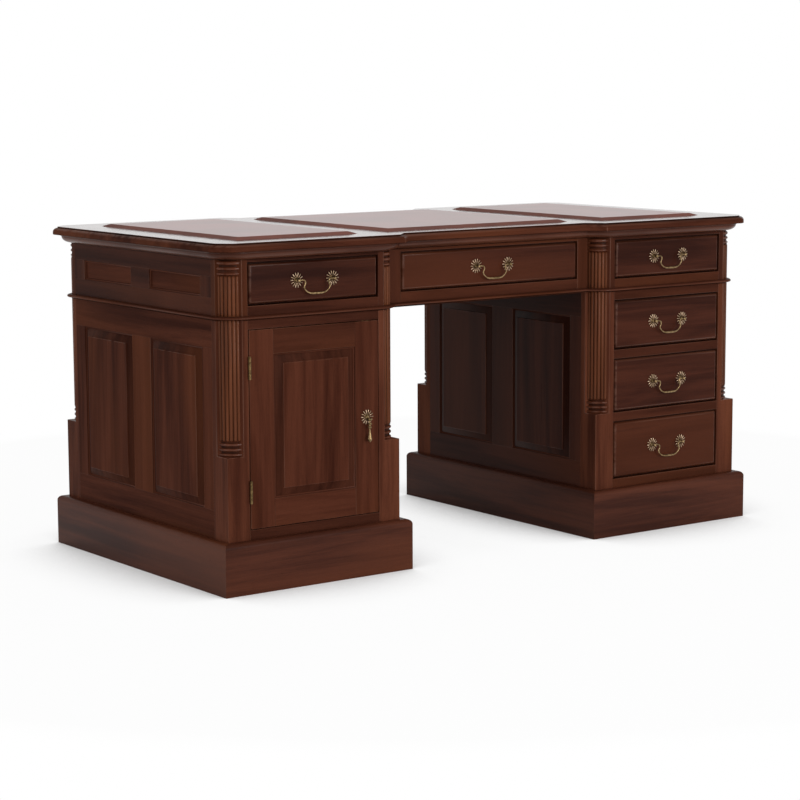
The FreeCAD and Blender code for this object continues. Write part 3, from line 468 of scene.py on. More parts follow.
def polish_top(mesh):
    """Give the upper face of the top a high polish and the rest of it satin, with painted shade on its step and
    underside, and a painted highlight with wear on faces that slope upward.
    """
    mesh.materials.clear()
    mesh.materials.append(SATIN)
    mesh.materials.append(POLISHED)
    for face, arris in zip(mesh.polygons, mesh.attributes["arris"].data):
        upward = face.normal.z
        face.material_index = int(upward > 0.99 and face.center.z > TOP_FACE)
        if abs(upward) < 0.1 and face.center.z > TOP_STEP:
            arris.value = STEP_SHADE
        elif 0.5 < upward < 0.95:
            arris.value = EDGE_RUB_AND_HIGHLIGHT
        elif upward < -0.3:
            arris.value = UNDERSIDE_SHADE


def paint_lip_highlight_and_rebate_shade(mesh):
    """Make the rounded lip of a drawer's front worn paler with a painted highlight, and paint shade in the rebate
    round it.
    """
    side = math.copysign(1, mesh.vertices[0].co.y)
    face_plane = max(abs(vertex.co.y) for vertex in mesh.vertices)
    for face, arris in zip(mesh.polygons, mesh.attributes["arris"].data):
        outward = face.normal.y * side
        depth = face_plane - abs(face.center.y)
        if depth > REBATE_DEPTH and outward > 0.9:
            arris.value = REBATE_SHADE
        elif LIP_DEPTHS[0] < depth < LIP_DEPTHS[1] and 0.05 < outward < 0.97:
            arris.value = LIP_RUB_AND_HIGHLIGHT


def shade_bevels(mesh):
    """Paint shade on the sloping margins of raised panels."""
    for face, arris in zip(mesh.polygons, mesh.attributes["arris"].data):
        if arris.value == 0 and max(abs(part) for part in face.normal) < 0.999:
            arris.value = BEVEL_SHADE


# how far from the middle boards face the kneehole, and above what heights frieze and door heads are
KNEEHOLE_SIDE = 330 * MM
FRIEZE_FOOT = 600 * MM
DOOR_HEAD = 500 * MM


def finish_of(node, board):
    """The finish of a board: darker on rails and, as painted shade, in the kneehole; paler on the long corner
    posts.
    """
    reach = board.high - board.low
    rail = reach.x > max(reach.y, reach.z)
    kneehole = max(abs(board.low.x), abs(board.high.x)) < KNEEHOLE_SIDE
    pedestal = node.endswith("_pedestal")
    door_head = "door" in node and board.low.z > DOOR_HEAD
    if node in ("drawer_runners", "shelves"):
        return INNER
    if node == "plinths":
        return HAZY
    if node == "corner_posts":
        return PALER if board.low.z < FRIEZE_FOOT else DARKER
    # boards facing the kneehole take the dark finish as painted shade
    if kneehole and (pedestal or node == "side_panels"):
        return FRONTS
    if node == "frieze_frame" or rail and (pedestal or door_head):
        return DARKER
    return SATIN


def finish_boards(mesh, node, boards):
    """Give each board in a mesh its finish."""
    finishes = [finish_of(node, board) for board in boards]
    palette = list(dict.fromkeys(finishes))
    mesh.materials.clear()
    for material in palette:
        mesh.materials.append(material)
    for face, board in zip(mesh.polygons, mesh.attributes["board"].data):
        face.material_index = palette.index(finishes[board.value])


# nodes whose visible surface is made anew
SHAPED_NODES = {"corner_columns", "bed_moulding", "waist_bead"}
WOOD_SLOTS = ("mahogany", "inner_wood")


def dress_wood():
    """Boards of every wooden node but those made anew, with a drawer's box apart from its front."""
    slots = {part["node"]: part["material_slot"] for part in frame["record"]["subparts"]}
    wooden = [node for node, slot in slots.items() if slot in WOOD_SLOTS and node not in SHAPED_NODES]
    boards = {node: [Board(solid) for solid in split_solids(NODES[node].data)] for node in wooden}
    together = {}
    for node in wooden:
        together.setdefault(BODY_OF[node], []).extend(boards[node])
    for node in wooden:
        body = BODY_OF[node]
        around = together[body]
        if node.endswith("_drawer"):
            front = max(boards[node], key=lambda board: max(abs(board.low.y), abs(board.high.y)))
            box = [board for board in boards[node] if board is not front]
            mesh = ease_boards(f"{node}_front", [front], around)
            paint_lip_highlight_and_rebate_shade(mesh)
            add_piece(f"{node}_front", mesh, FRONTS, body, "mahogany", node)
            mesh = ease_boards(f"{node}_box", box, around, BOX_ARRIS)
            add_piece(f"{node}_box", mesh, INNER, body, "inner_wood", node)
            continue
        mesh = ease_boards(f"{node}_boards", boards[node], around)
        finish_boards(mesh, node, boards[node])
        if node.endswith(("door_panel", "side_panels")):
            shade_bevels(mesh)
        if node == "top_board":
            polish_top(mesh)
        add_piece(f"{node}_boards", mesh, None, body, slots[node], node)


# Geometry trees ---------------------------------------------


class Grower(Graph):
    """A geometry tree that plants units on points. Its sizes are named inputs, in metres."""

    def __init__(self, name, **values):
        super().__init__(bpy.data.node_groups.new(name, "GeometryNodeTree"))
        self.values = values
        self.add_socket("Points", "NodeSocketGeometry")
        self.add_socket("Material", "NodeSocketMaterial")
        for key, value in values.items():
            self.add_socket(key, "NodeSocketInt" if isinstance(value, int) else "NodeSocketFloat")
        self.add_socket("Geometry", "NodeSocketGeometry", "OUTPUT")
        self.given = self.node("NodeGroupInput")

    def add_socket(self, name, kind, direction="INPUT"):
        self.tree.interface.new_socket(name=name, in_out=direction, socket_type=kind)

    def planted(self, points, unit, rotation=(0, 0, 0)):
        inputs = {"Points": points, "Instance": unit, "Rotation": rotation}
        return self.node("GeometryNodeInstanceOnPoints", None, inputs)

    def turn(self, angle):
        """A rotation about Z."""
        return self.node("ShaderNodeCombineXYZ", None, {"Z": angle})

    def close(self, instances):
        """End the tree with its instances made real, smooth and in their material."""
        real = self.node("GeometryNodeRealizeInstances", None, {0: instances})
        smooth = self.node("GeometryNodeSetShadeSmooth", None, {"Geometry": real})
        inputs = {"Geometry": smooth, "Material": self.given.output("Material")}
        painted = self.node("GeometryNodeSetMaterial", None, inputs)
        end = self.tree.nodes.new("NodeGroupOutput")
        self.tree.links.new(painted.socket, end.inputs["Geometry"])

    def grow(self, points, material, **changed):
        """Run the tree on a mesh of points, and give what it makes as a plain mesh."""
        thing = linked(self.tree.name, points)
        modifier = thing.modifiers.new("nodes", "NODES")
        modifier.node_group = self.tree
        values = {**self.values, "Material": material, **changed}
        for item in self.tree.interface.items_tree:
            if item.name in values:
                modifier[item.identifier] = values[item.name]
        return evaluated(thing)


def reeding():
    """Reeds with domed ends, side by side round the front quarter of each column."""
    tree = Grower("reeding", Reeds=6, Axis=31.4 * MM, Reed=4.6 * MM, Foot=0.0, Head=1.0)
    reeds, axis, reed, foot, head = (tree.given.output(name) for name in tree.values)
    # seven rings leave the middle of the ball free, so that its halves part cleanly
    ball = tree.node("GeometryNodeMeshUVSphere", None, {"Segments": 14, "Rings": 7, "Radius": reed})
    position = tree.node("GeometryNodeInputPosition")
    height = tree.node("ShaderNodeSeparateXYZ", None, {0: position}, output="Z")
    rise = height.math("SIGN") * ((head - foot) * 0.5 - reed) + (head + foot) * 0.5
    stretch = tree.node("ShaderNodeCombineXYZ", None, {"Z": rise})
    bar = tree.node("GeometryNodeSetPosition", None, {"Geometry": ball, "Offset": stretch})
    quarter = math.pi / 2
    step = tree.node("ShaderNodeMath", {"operation": "DIVIDE"}, {0: quarter, 1: reeds})
    inputs = {
        "Resolution": reeds,
        "Radius": axis,
        "Start Angle": step * 0.5 - 1.5 * quarter,
        "Sweep Angle": quarter - step,
    }
    fan = tree.planted(tree.node("GeometryNodeCurveArc", None, inputs), bar)
    turn = tree.node("GeometryNodeInputNamedAttribute", {"data_type": "FLOAT"}, {"Name": "turn"})
    tree.close(tree.planted(tree.given.output("Points"), fan, tree.turn(turn)))
    return tree


def petals():
    """A ring of domed petals round each point, that faces -Y."""
    sizes = {"Inner": 3.2, "Outer": 17.6, "Width": 2.3, "Dome": 1.7, "Rise": 1.3}
    tree = Grower("petals", Petals=14, **{name: size * MM for name, size in sizes.items()})
    count, inner, outer, width, dome, rise = (tree.given.output(name) for name in tree.values)
    ball = tree.node("GeometryNodeMeshUVSphere", None, {"Segments": 10, "Rings": 7, "Radius": 1.0})
    place = tree.node("ShaderNodeSeparateXYZ", None, {0: tree.node("GeometryNodeInputPosition")})
    x, y, z = (place.output(letter) for letter in "XYZ")
    taper = x * 0.42 + 0.50
    shape = {
        "X": x * (outer - inner) * 0.5 + (outer + inner) * 0.5,
        "Y": y * width * taper,
        "Z": z * dome + rise,
    }
    position = tree.node("ShaderNodeCombineXYZ", None, shape)
    petal = tree.node("GeometryNodeSetPosition", None, {"Geometry": ball, "Position": position})
    ring = tree.node("GeometryNodeMeshCircle", None, {"Vertices": count, "Radius": 1e-6})
    angle = tree.node("GeometryNodeInputIndex") * math.tau / count
    flower = tree.planted(ring, petal, tree.turn(angle))
    tree.close(tree.planted(tree.given.output("Points"), flower, (math.pi / 2, 0, 0)))
    return tree


def points_mesh(places):
    """A mesh of loose points."""
    mesh = bpy.data.meshes.new("points")
    mesh.from_pydata([tuple(place) for place in places], [], [])
    return mesh


# Turned work ------------------------------------------------


def turn_profile(bm, profile, place, start=0.0, sweep=360.0, steps=20):
    """Turn a profile about Z and add it: (radius, height) pairs in millimetres, from foot to head."""
    lines = []
    for number in range(steps + 1):
        angle = math.radians(start + sweep * number / steps)
        out = Vector((math.cos(angle), math.sin(angle), 0))
        points = [out * radius + Vector((0, 0, height)) for radius, height in profile]
        lines.append([bm.verts.new(place @ (point * MM)) for point in points])
    for left, right in zip(lines, lines[1:]):
        for low in range(len(profile) - 1):
            bm.faces.new((left[low], right[low], right[low + 1], left[low + 1])).smooth = True


def round_ring(reach, height, radius, start=-90, end=90, steps=8):
    """Part of a circle in a profile, as for a torus or the outer half of a ball."""
    angles = [math.radians(start + (end - start) * number / steps) for number in range(steps + 1)]
    return [(reach + radius * math.cos(angle), height + radius * math.sin(angle)) for angle in angles]


def finished(bm, name, sharp=35):
    """A mesh from a bmesh, with its seams closed and its sharp edges kept."""
    bmesh.ops.remove_doubles(bm, verts=bm.verts[:], dist=1e-6)
    mesh = bpy.data.meshes.new(name)
    bm.to_mesh(mesh)
    bm.free()
    mesh.set_sharp_from_angle(angle=math.radians(sharp))
    return mesh


# Mouldings --------------------------------------------------

HALF_WIDTH = 768.0
HALF_DEPTH = 368.0
INNER_PLANE = 300.0
BREAK_DEPTH = 36.0
CANT_LEG = 43.0
COLUMN_INSET = 39.9
# the outermost legs of the cants that the two mouldings turn
OVOLO_LEG = 38.0
BEAD_LEG = 36.0
# spans and heights of the panelled openings, in millimetres
SIDE_SPANS = ((-268, -42), (42, 268))
SIDE_HEIGHTS = (183, 545)
FRIEZE_SPANS = ((-264, -42), (42, 264))
FRIEZE_HEIGHTS = (657, 704)
DOOR_SPAN = (-644, -424)
DOOR_HEIGHTS = (205, 530)

# pairs of overhang and height in millimetres, from head to foot, and each level's amount: above 0 it is worn paler
# with a painted highlight, below 0 it is painted shade
BED_MOULD = [
    (0.0, 761.0, 0.0),
    (18.0, 761.0, -0.6),
    (18.2, 760.2, -0.6),
    (20.8, 760.0, 0.2),
    (21.0, 758.6, 0.6),
    (20.6, 758.0, 0.2),
    (19.4, 757.8, -0.6),
    (19.4, 757.0, -0.2),
    (19.0, 753.6, 0.3),
    (17.6, 750.1, 0.5),
    (15.3, 747.2, 0.6),
    (12.3, 744.9, 0.8),
    (8.8, 743.5, 0.9),
    (5.6, 743.1, 0.7),
    (5.2, 742.9, -0.4),
    (3.2, 741.6, -1.0),
    (0.0, 741.0, -1.0),
]
BEAD = [
    (0.0, 618.0, 0.0),
    (5.6, 618.0, -0.3),
    (7.6, 617.6, -0.2),
    (9.3, 616.4, -0.3),
    (10.2, 615.0, 0.0),
    (10.5, 613.6, 0.8),
    (10.2, 612.2, 0.3),
    (9.4, 611.2, -0.3),
    (8.2, 610.6, -0.5),
    (1.0, 610.4, -1.0),
    (1.0, 608.8, -1.0),
    (3.0, 608.7, -0.5),
    (3.2, 608.0, 0.0),
    (0.0, 608.0, 0.0),
]
# the ovolo round the inside of a panelled opening: distance from the frame and from its face, inmost first, and
# each level's amount: above 0 worn paler with a painted highlight, below 0 painted shade
STICKING = [
    (6.4, -6.2, -1.0),
    (5.2, -6.0, -1.0),
    (5.0, -5.0, -0.9),
    (4.7, -4.0, -0.4),
    (4.0, -3.1, -0.1),
    (3.0, -2.4, 0.2),
    (1.7, -2.0, 0.1),
    (1.2, -1.9, -0.5),
    (1.2, -1.4, -0.5),
    (0.0, -1.4, 0.0),
]


def desk_outline(overhang, leg):
    """The breakfront outline with canted corners, anticlockwise, an overhang away from the carcase."""
    wide = HALF_WIDTH + overhang
    deep = HALF_DEPTH + overhang
    inner = INNER_PLANE - overhang + leg
    step = (inner - BREAK_DEPTH, deep - BREAK_DEPTH)
    corner = [(wide, deep - leg), (wide - leg, deep), (inner, deep), step]
    points = []
    for across, along in ((1, 1), (-1, 1), (-1, -1), (1, -1)):
        ordered = corner if across * along > 0 else corner[::-1]
        points += [Vector((across * x, along * y, 0)) for x, y in ordered]
    return points


def rounded(outline, radius, steps=6):
    """An outline with arcs at its convex corners. Each concave corner stays one point."""
    points = []
    for before, corner, after in zip(outline[-1:] + outline[:-1], outline, outline[1:] + outline[:1]):
        into = (corner - before).normalized()
        out = (after - corner).normalized()
        if into.cross(out).z < 0:
            points.append(corner)
            continue
        bend = into.angle(out)
        inward = Vector((-into.y, into.x, 0)) * radius
        centre = corner - into * radius * math.tan(bend / 2) + inward
        turns = [Matrix.Rotation(bend * step / steps, 3, "Z") for step in range(steps + 1)]
        points += [centre - turn @ inward for turn in turns]
    return points


def skin(bm, rings, wear_and_painted_light, place=Matrix.Identity(4)):
    """Join closed rings of points into a moulding. Its grain runs along them."""
    grain = bm.loops.layers.float_vector.get("grain") or bm.loops.layers.float_vector.new("grain")
    arris = bm.loops.layers.float.get("arris") or bm.loops.layers.float.new("arris")
    count = len(rings[0])
    along = [0.0]
    for index in range(count):
        along.append(along[-1] + (rings[0][(index + 1) % count] - rings[0][index]).length * MM)
    lines = [[bm.verts.new(place @ (point * MM)) for point in ring] for ring in rings]
    for level in range(len(rings) - 1):
        for index in range(count):
            following = (index + 1) % count
            corners = ((level, index), (level + 1, index), (level + 1, following), (level, following))
            face = bm.faces.new([lines[row][column] for row, column in corners])
            face.smooth = True
            ends = (along[index], along[index], along[index + 1], along[index + 1])
            for loop, (row, _), distance in zip(face.loops, corners, ends):
                loop[grain] = Vector((distance, row * 2 * MM, count))
                # each level's amount goes to arris: above 0 worn paler with a painted highlight, below 0 painted
                # shade
                loop[arris] = wear_and_painted_light[row]


def round_the_desk(name, profile, outer_leg, node, finish):
    """A moulding swept round the carcase, that turns about the columns at the corners."""
    reach = max(overhang for overhang, _, _ in profile)
    rings = []
    for overhang, height, _ in profile:
        leg = CANT_LEG + (outer_leg - CANT_LEG) * overhang / reach
        outline = rounded(desk_outline(overhang, leg), COLUMN_INSET + overhang)
        rings.append([Vector((point.x, point.y, height)) for point in outline])
    bm = bmesh.new()
    skin(bm, rings, [rub_and_light for _, _, rub_and_light in profile])
    add_piece(name, finished(bm, name), finish, "carcase", "mahogany", node)


def panel_sticking(name, openings, body, node):
    """Mitred ovolos in panelled openings, each given as a turn about Z, a plane, a span and heights."""
    bm = bmesh.new()
    for turn, plane, (left, right), (foot, head) in openings:
        rings = []
        for inset, rise, _ in STICKING:
            low, high, bottom, top = left + inset, right - inset, foot + inset, head - inset
            corners = ((low, bottom), (high, bottom), (high, top), (low, top))
            rings.append([Vector((x, -(plane + rise), z)) for x, z in corners])
        skin(bm, rings, [rub_and_light for _, _, rub_and_light in STICKING], Matrix.Rotation(math.radians(turn), 4, "Z"))
    add_piece(name, finished(bm, name), SATIN, body, "mahogany", node)


def mouldings():
    """The ovolo under the top, the bead at the waist, and the ovolos round all the panels."""
    round_the_desk("bed_ovolo", BED_MOULD, OVOLO_LEG, "bed_moulding", HAZY)
    round_the_desk("waist_round", BEAD, BEAD_LEG, "waist_bead", SATIN)
    openings = []
    for turn in (90, -90):
        for across in SIDE_SPANS:
            openings.append((turn, HALF_WIDTH, across, SIDE_HEIGHTS))
            openings.append((turn, -INNER_PLANE, across, SIDE_HEIGHTS))
        for across in FRIEZE_SPANS:
            openings.append((turn, HALF_WIDTH, across, FRIEZE_HEIGHTS))
    panel_sticking("side_sticking", openings, "carcase", "side_panels")
    for end, turn in (("front", 0), ("back", 180)):
        opening = (turn, HALF_DEPTH, DOOR_SPAN, DOOR_HEIGHTS)
        panel_sticking(f"{end}_door_sticking", [opening], f"{end}_door_body", f"{end}_door_panel")


# Columns ----------------------------------------------------

COLUMN_X = (HALF_WIDTH - COLUMN_INSET, -INNER_PLANE - COLUMN_INSET)
COLUMN_Y = HALF_DEPTH - COLUMN_INSET
COLUMN_RADIUS = 36.0
LONG_COLUMN = (307.0, 608.0)
SHORT_COLUMN = (618.0, 741.0)
# how far rings reach along a column, the radius beneath its reeds, and how far those run into the bead
RINGED = 34.0
SHAFT_RADIUS = 33.2
REED_OVERRUN = 4.0
# the arc of a core round its axis, in degrees
CORE_START = -139
CORE_SWEEP = 98
# painted shade lies below this distance from the axis, and above it reeds are worn paler with a painted highlight
HOLLOW_REACH = COLUMN_RADIUS - 1.0
REED_RISE = 2.2
MOST_SHADE = -0.8
MOST_RUB_AND_HIGHLIGHT = 0.4
# rings of a neck: distance from the end of the column, and radius
BASE_RINGS = ((4.0, 3.6), (15.5, 3.6), (27.0, 3.6))
CAPITAL_RINGS = ((6.2, 4.4), (18.2, 3.6), (29.8, 2.4))


def column_places():
    """The axis of each of the eight columns, and the turn that brings -Y out through its cant."""
    for side in (1, -1):
        for across in COLUMN_X:
            for end in (1, -1):
                axis = Vector((side * abs(across), end * COLUMN_Y, 0)) * MM
                yield axis, math.atan2(side * math.copysign(1, across), -end)


def ringed_neck(rings):
    """Three rings round a neck, from the end of the column towards its shaft."""
    profile = [(32.6, 0.0)]
    for height, radius in rings:
        profile += round_ring(COLUMN_RADIUS + 0.4 - radius, height, radius)
    return profile + [(32.8, 32.8), (34.6, 33.2), (35.0, RINGED), (SHAFT_RADIUS, RINGED + 1.5)]


def upright_grain(mesh):
    """Grain along Z. The ridges of the reeds are worn paler with a painted highlight, as arrises are, and the
    hollows are darkened with painted shade.
    """
    axes = [axis for axis, _ in column_places()]
    grain, tone, arris = [], [], []
    for vertex in mesh.vertices:
        flat = Vector((vertex.co.x, vertex.co.y, 0))
        number = min(range(len(axes)), key=lambda index: (axes[index] - flat).length)
        reach = (axes[number] - flat).length / MM
        grain += [vertex.co.z + number, vertex.co.x, vertex.co.y]
        tone.append(math.sin(7.0 * number) * 0.4)
        arris.append(min(max((reach - HOLLOW_REACH) / REED_RISE, MOST_SHADE), MOST_RUB_AND_HIGHLIGHT))
    store(mesh, "grain", "FLOAT_VECTOR", "POINT", grain)
    store(mesh, "tone", "FLOAT", "POINT", tone)
    store(mesh, "arris", "FLOAT", "POINT", arris)


def columns():
    """Cores with ringed ends, and reeds between the rings and the bead."""
    long_foot, long_head = LONG_COLUMN
    short_foot, short_head = SHORT_COLUMN
    base = [(radius, long_foot + height) for radius, height in ringed_neck(BASE_RINGS)]
    capital = [(radius, short_head - height) for radius, height in reversed(ringed_neck(CAPITAL_RINGS))]
    profiles = (base + [(SHAFT_RADIUS, long_head)], [(SHAFT_RADIUS, short_foot)] + capital)
    bm = bmesh.new()
    for axis, turn in column_places():
        place = Matrix.Translation(axis) @ Matrix.Rotation(turn, 4, "Z")
        for profile in profiles:
            turn_profile(bm, profile, place, start=CORE_START, sweep=CORE_SWEEP, steps=22)
    tree = reeding()
    meshes = {"column_cores": finished(bm, "column_cores", 50)}
    spans = {
        "long_reeds": (long_foot + RINGED, long_head + REED_OVERRUN),
        "short_reeds": (short_foot - REED_OVERRUN, short_head - RINGED),
    }
    for name, (foot, head) in spans.items():
        points = points_mesh([axis for axis, _ in column_places()])
        store(points, "turn", "FLOAT", "POINT", [turn for _, turn in column_places()])
        meshes[name] = tree.grow(points, REEDED, Foot=foot * MM, Head=head * MM)
    for name, mesh in meshes.items():
        upright_grain(mesh)
        finish = TURNED if name == "column_cores" else REEDED
        add_piece(name, mesh, finish, "carcase", "mahogany", "corner_columns")


# Leather ----------------------------------------------------

# the ends and half the depth of each lining, and their section: distance from the border, and height
LEATHERS = ((-697, -369, 303), (-274, 274, 285), (369, 697, 303))
LINING = ((0.0, 779.0), (0.0, 780.0), (13.0, 784.6), (14.8, 785.2), (16.4, 785.5), (110.0, 785.5))


def leather():
    """Each lining with its sloping edge. Its points know how far they lie from its border."""
    bm = bmesh.new()
    inset = bm.verts.layers.float.new("inset")
    for left, right, depth in LEATHERS:
        rings = []
        for step, height in LINING:
            low, high, half = left + step, right - step, depth - step
            corners = ((low, -half), (high, -half), (high, half), (low, half))
            ring = [bm.verts.new(Vector((x, y, height)) * MM) for x, y in corners]
            for vertex in ring:
                vertex[inset] = step * MM
            rings.append(ring)
        for outer, inner in zip(rings, rings[1:]):
            for index in range(4):
                following = (index + 1) % 4
                bm.faces.new((outer[index], outer[following], inner[following], inner[index]))
        bm.faces.new(rings[-1])
    mesh = bpy.data.meshes.new("leather_linings")
    bm.to_mesh(mesh)
    bm.free()
    add_piece("leather_linings", mesh, LEATHER, "carcase", "top_leather", "leather_panels")


# Handles ----------------------------------------------------

# the distance between the posts of a bail, and of the pin axis from the face, in millimetres
PITCH = 96.0
REACH = 11.0
FORWARD = Matrix.Rotation(math.pi / 2, 4, "X")
SIDEWAYS = Matrix.Rotation(math.pi / 2, 4, "Y")

# turned profiles: radius and distance along the axis
DISC = [(7.0, 0.0), (7.0, 0.5), (6.6, 0.8)]
ROSETTE = DISC + [(4.4, 0.9), (4.3, 2.4), (3.8, 3.1), (3.0, 3.6), (2.5, 4.4), (2.3, 5.5)]
POST_BALL = [(2.5, 7.4)] + round_ring(0.0, REACH, 4.4, start=-55, end=90, steps=9)

# the drop's rosette, measured from its pin, and its fork
DROP_ROSETTE = (0, REACH, 5)
STEM = [(3.4, 0.0), (3.2, 5.0), (3.9, 6.2), (3.6, 7.4), (0.0, 7.6)]
CHEEK = [(0.0, -1.0), (3.4, -1.0), (3.6, -0.6), (3.6, 0.6), (3.4, 1.0), (0.0, 1.0)]
PIN = [(0.0, -4.6), (1.5, -4.4), (1.8, -3.8), (1.2, -3.7), (1.2, 3.7), (1.8, 3.8), (1.5, 4.4), (0.0, 4.6)]
CHEEK_PLACE = 2.8
WEB_SIZE = (2.0, 4.4, 5.0)

# the slots of the disc and the petals of a rosette; all else is in the first slot
BRASSES = (BRASS, DULL_BRASS, WORN_BRASS)
DISC_SLOT = 1
PETAL_SLOT = 2
DISC_FROM = 4.5 * MM

# the right half of a bail, in millimetres from the middle of the pin axis: across, up and radius
BAIL = (
    (50.6, 0.0, 1.5),
    (44.0, 0.1, 1.5),
    (38.5, 0.5, 1.6),
    (33.6, -0.4, 1.7),
    (31.0, -4.2, 1.8),
    (31.6, -9.0, 1.7),
    (34.6, -13.2, 1.7),
    (35.2, -16.8, 1.8),
    (32.8, -20.8, 1.5),
    (28.6, -25.0, 1.6),
    (23.4, -28.4, 1.7),
    (17.6, -30.1, 2.2),
    (12.0, -30.6, 2.7),
    (0.0, -30.7, 2.9),
)

# the knop in each neck of a bail: across, up and radius
KNOP = (34.8, -15.8, 2.4)

# the ring of a drop's eye, and how thick it is
EYE_RADIUS = 2.4
EYE_THICKNESS = 1.1
# a drop below its pin, from its tip to its eye
DROP = [
    (0.0, -54.0),
    (1.2, -52.3),
    (3.5, -50.2),
    (5.2, -48.0),
    (5.8, -45.5),
    (5.5, -43.0),
    (4.6, -40.0),
    (3.3, -33.0),
    (2.4, -27.0),
    (1.9, -22.4),
    (2.3, -21.0),
    (4.2, -19.8),
    (4.9, -17.8),
    (4.2, -15.8),
    (2.6, -14.5),
    (2.6, -13.2),
    (4.7, -12.0),
    (5.4, -10.0),
    (4.7, -8.2),
    (1.9, -7.6),
    (1.4, -6.4),
    (1.4, -3.6),
]


def at(x, y, z):
    """A place in millimetres, as a matrix in metres."""
    return Matrix.Translation(Vector((x, y, z)) * MM)


def rosettes(centres, stems):
    """Flowers of cast brass at some centres on a face, with the turned stems that stand in them."""
    bm = bmesh.new()
    for centre in centres:
        turn_profile(bm, stems, at(*centre) @ FORWARD, steps=24)
    for face in bm.faces:
        middle = face.calc_center_median()
        reach = min(math.hypot(middle.x - x * MM, middle.z - z * MM) for x, _, z in centres)
        face.material_index = DISC_SLOT if reach > DISC_FROM else 0
    turned = len(bm.faces)
    flowers = PETALS.grow(points_mesh([Vector(centre) * MM for centre in centres]), BRASS)
    bm.from_mesh(flowers)
    bpy.data.meshes.remove(flowers)
    for face in list(bm.faces)[turned:]:
        face.material_index = PETAL_SLOT
    return finished(bm, "rosettes")


def bail():
    """A swan-neck bail with a knop in each neck and a swollen grip."""
    data = bpy.data.curves.new("bail", "CURVE")
    data.dimensions = "3D"
    data.bevel_depth = MM
    data.bevel_resolution = 4
    data.use_fill_caps = True
    path = list(BAIL) + [(-x, z, radius) for x, z, radius in reversed(BAIL[:-1])]
    spline = data.splines.new("NURBS")
    spline.points.add(len(path) - 1)
    for point, (x, z, radius) in zip(spline.points, path):
        point.co = (x * MM, 0, z * MM, 1)
        point.radius = radius
    spline.order_u = 4
    spline.use_endpoint_u = True
    spline.resolution_u = 5
    bm = bmesh.new()
    bar = evaluated(linked("bail", data))
    bm.from_mesh(bar)
    bpy.data.meshes.remove(bar)
    across, up, radius = KNOP
    for side in (-1, 1):
        turn_profile(bm, round_ring(0, 0, radius, steps=8), at(side * across, 0, up), steps=12)
    for face in bm.faces:
        face.smooth = True
    return finished(bm, "bail")


def drop_pull():
    """A turned drop below an eye that hangs on the cross pin."""
    bm = bmesh.new()
    turn_profile(bm, DROP, Matrix.Identity(4), steps=20)
    eye = round_ring(EYE_RADIUS, 0, EYE_THICKNESS, start=-180, end=180, steps=10)
    turn_profile(bm, eye, SIDEWAYS, steps=18)
    return finished(bm, "drop")


def forked_plate():
    """The rosette of a drop, with a fork and a riveted cross pin."""
    mesh = rosettes([DROP_ROSETTE], ROSETTE + [(0.0, 5.8)])
    bm = bmesh.new()
    bm.from_mesh(mesh)
    turn_profile(bm, STEM, at(0, REACH, 0) @ FORWARD, steps=16)
    for side in (-1, 1):
        across = side * CHEEK_PLACE
        turn_profile(bm, CHEEK, at(across, 0, 0) @ SIDEWAYS, steps=16)
        web = at(across, WEB_SIZE[1] / 2, 0) @ Matrix.Diagonal((*WEB_SIZE, 1))
        bmesh.ops.create_cube(bm, size=MM, matrix=web)
    turn_profile(bm, PIN, SIDEWAYS, steps=12)
    return finished(bm, "forked_plate")


def hang(name, master, joint, body, node):
    """A copy of a handle's part, with the middle of its pin axis where its joint is."""
    facing = 0.0 if name.startswith("front") else math.pi
    mesh = master.copy()
    for material in BRASSES:
        mesh.materials.append(material)
    mesh.transform(Matrix.Translation(Vector(JOINTS[joint]["pos_m"])) @ Matrix.Rotation(facing, 4, "Z"))
    add_piece(name, mesh, None, body, "antique_brass", node)


def handles():
    """Plates, bails and drops on every drawer and door."""
    plates = rosettes([(-PITCH / 2, REACH, 0), (PITCH / 2, REACH, 0)], ROSETTE + POST_BALL)
    swan = bail()
    fork = forked_plate()
    drop = drop_pull()
    for joint in JOINTS:
        label = joint.removesuffix("_bail_swing").removesuffix("_drop_swing")
        if joint.endswith("_bail_swing"):
            hang(f"{label}_rosettes", plates, joint, f"{label}_drawer_body", f"{label}_handle_plates")
            hang(f"{label}_swan_neck", swan, joint, f"{label}_bail_body", f"{label}_bail")
        elif joint.endswith("_drop_swing"):
            hang(f"{label}_rosette", fork, joint, f"{label}_body", f"{label}_drop_plate")
            hang(f"{label}_pendant", drop, joint, f"{label}_drop_body", f"{label}_drop")


PETALS = petals()


# Floor, light and camera ------------------------------------


FLOOR_REACH = 14.0
FLOOR_COLOR = (0.88, 0.88, 0.88, 1)
WHITE = (1, 1, 1, 1)
# how near the desk darkens the floor, how white it stays in the darkest place, and what open floor adds
SHADOW_REACH = 0.4
LEAST_WHITE = 0.16
OPEN_WHITE = 0.79
# name, place, size and watts of each lamp
SOFTBOXES = (
    ("overhead_softbox", (-0.4, -0.4, 3.8), 3.0, 30.0),
    ("left_softbox", (-4.6, -0.4, 1.5), 1.6, 14.0),
    ("front_softbox", (0.6, -5.2, 1.6), 2.2, 100.0),
)
AIM = Vector((0, 0, 0.4))

LENS = 104.22
EYE = (-3.42485, -4.63431, 1.14860)
CAMERA_YAW = math.radians(36.239)
CAMERA_PITCH = math.radians(8.094)
CAMERA_ROLL = math.radians(0.236)


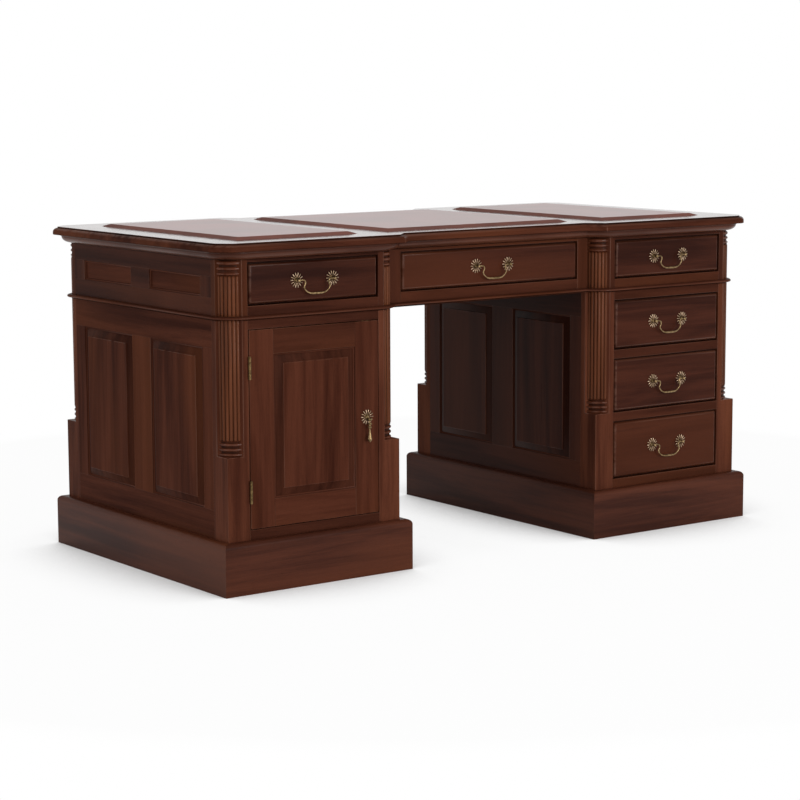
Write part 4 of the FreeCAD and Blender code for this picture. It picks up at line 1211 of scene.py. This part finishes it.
def floor():
    """A pale floor that keeps the desk's shadow and runs out into white."""
    mesh = bpy.data.meshes.new("studio_floor")
    corners = [(FLOOR_REACH * x, FLOOR_REACH * y, 0) for x, y in ((-1, -1), (1, -1), (1, 1), (-1, 1))]
    mesh.from_pydata(corners, [], [(0, 1, 2, 3)])
    ground = linked("studio_floor", mesh)
    paint = Finish("pale_floor", Roughness=0.6)
    point = paint.node("ShaderNodeTexCoord").output("Object")
    distance = paint.node("ShaderNodeVectorMath", {"operation": "LENGTH"}, {0: point}, output=1)
    seen = paint.node("ShaderNodeLightPath")
    shows = seen.output("Is Camera Ray") + seen.output("Is Glossy Ray") + seen.output("Is Transmission Ray")
    glow = paint.node("ShaderNodeEmission", None, {"Color": WHITE, "Strength": 1.0})
    matt = paint.node("ShaderNodeBsdfDiffuse", None, {"Color": FLOOR_COLOR})
    inputs = {"Distance": SHADOW_REACH}
    openness = paint.node("ShaderNodeAmbientOcclusion", {"samples": 8}, inputs, output="AO")
    near = openness.ramp(0.45, 0.85) * OPEN_WHITE + LEAST_WHITE
    white = near.math("MAXIMUM", distance.ramp(1.0, 2.0))
    share = white * shows.math("MINIMUM", 1.0)
    mixed = paint.node("ShaderNodeMixShader", None, {0: share, 1: matt, 2: glow})
    paint.tree.links.new(mixed.socket, paint.tree.nodes["Material Output"].inputs["Surface"])
    mesh.materials.append(paint.material)


def studio_light():
    """A pale room that darkens towards its ceiling, with soft lamps above, to the left and in front."""
    world = bpy.data.worlds.new("studio")
    world.use_nodes = True
    bpy.context.scene.world = world
    room = Graph(world.node_tree)
    direction = room.node("ShaderNodeTexCoord").output("Generated")
    height = room.node("ShaderNodeSeparateXYZ", None, {0: direction}, output="Z")
    strength = 1 - height.ramp(0.10, 0.80) * 0.70
    background = world.node_tree.nodes["Background"]
    background.inputs["Color"].default_value = WHITE
    world.node_tree.links.new(strength.socket, background.inputs["Strength"])
    for name, place, reach, energy in SOFTBOXES:
        data = bpy.data.lights.new(name, "AREA")
        data.size = reach
        data.energy = energy
        lamp = linked(name, data)
        lamp.location = place
        lamp.rotation_euler = (AIM - Vector(place)).to_track_quat("-Z", "Y").to_euler()


def camera():
    """Eye height over the near left corner, a long lens, looking a little down."""
    data = bpy.data.cameras.new("camera")
    data.sensor_width = 36.0
    data.lens = LENS
    data.clip_end = 60.0
    eye = linked("camera", data)
    turn = Matrix.Rotation(-CAMERA_YAW, 4, "Z") @ Matrix.Rotation(math.pi / 2 - CAMERA_PITCH, 4, "X")
    eye.matrix_world = Matrix.Translation(EYE) @ (turn @ Matrix.Rotation(-CAMERA_ROLL, 4, "Z"))
    bpy.context.scene.camera = eye


bpy.context.scene.view_settings.view_transform = "Standard"
camera()
floor()
studio_light()
dress_wood()
mouldings()
columns()
leather()
handles()
for node in ("door_fixed_brass", "front_door_hinge_leaves", "back_door_hinge_leaves"):
    for material_slot in NODES[node].material_slots:
        material_slot.material = DULL_BRASS
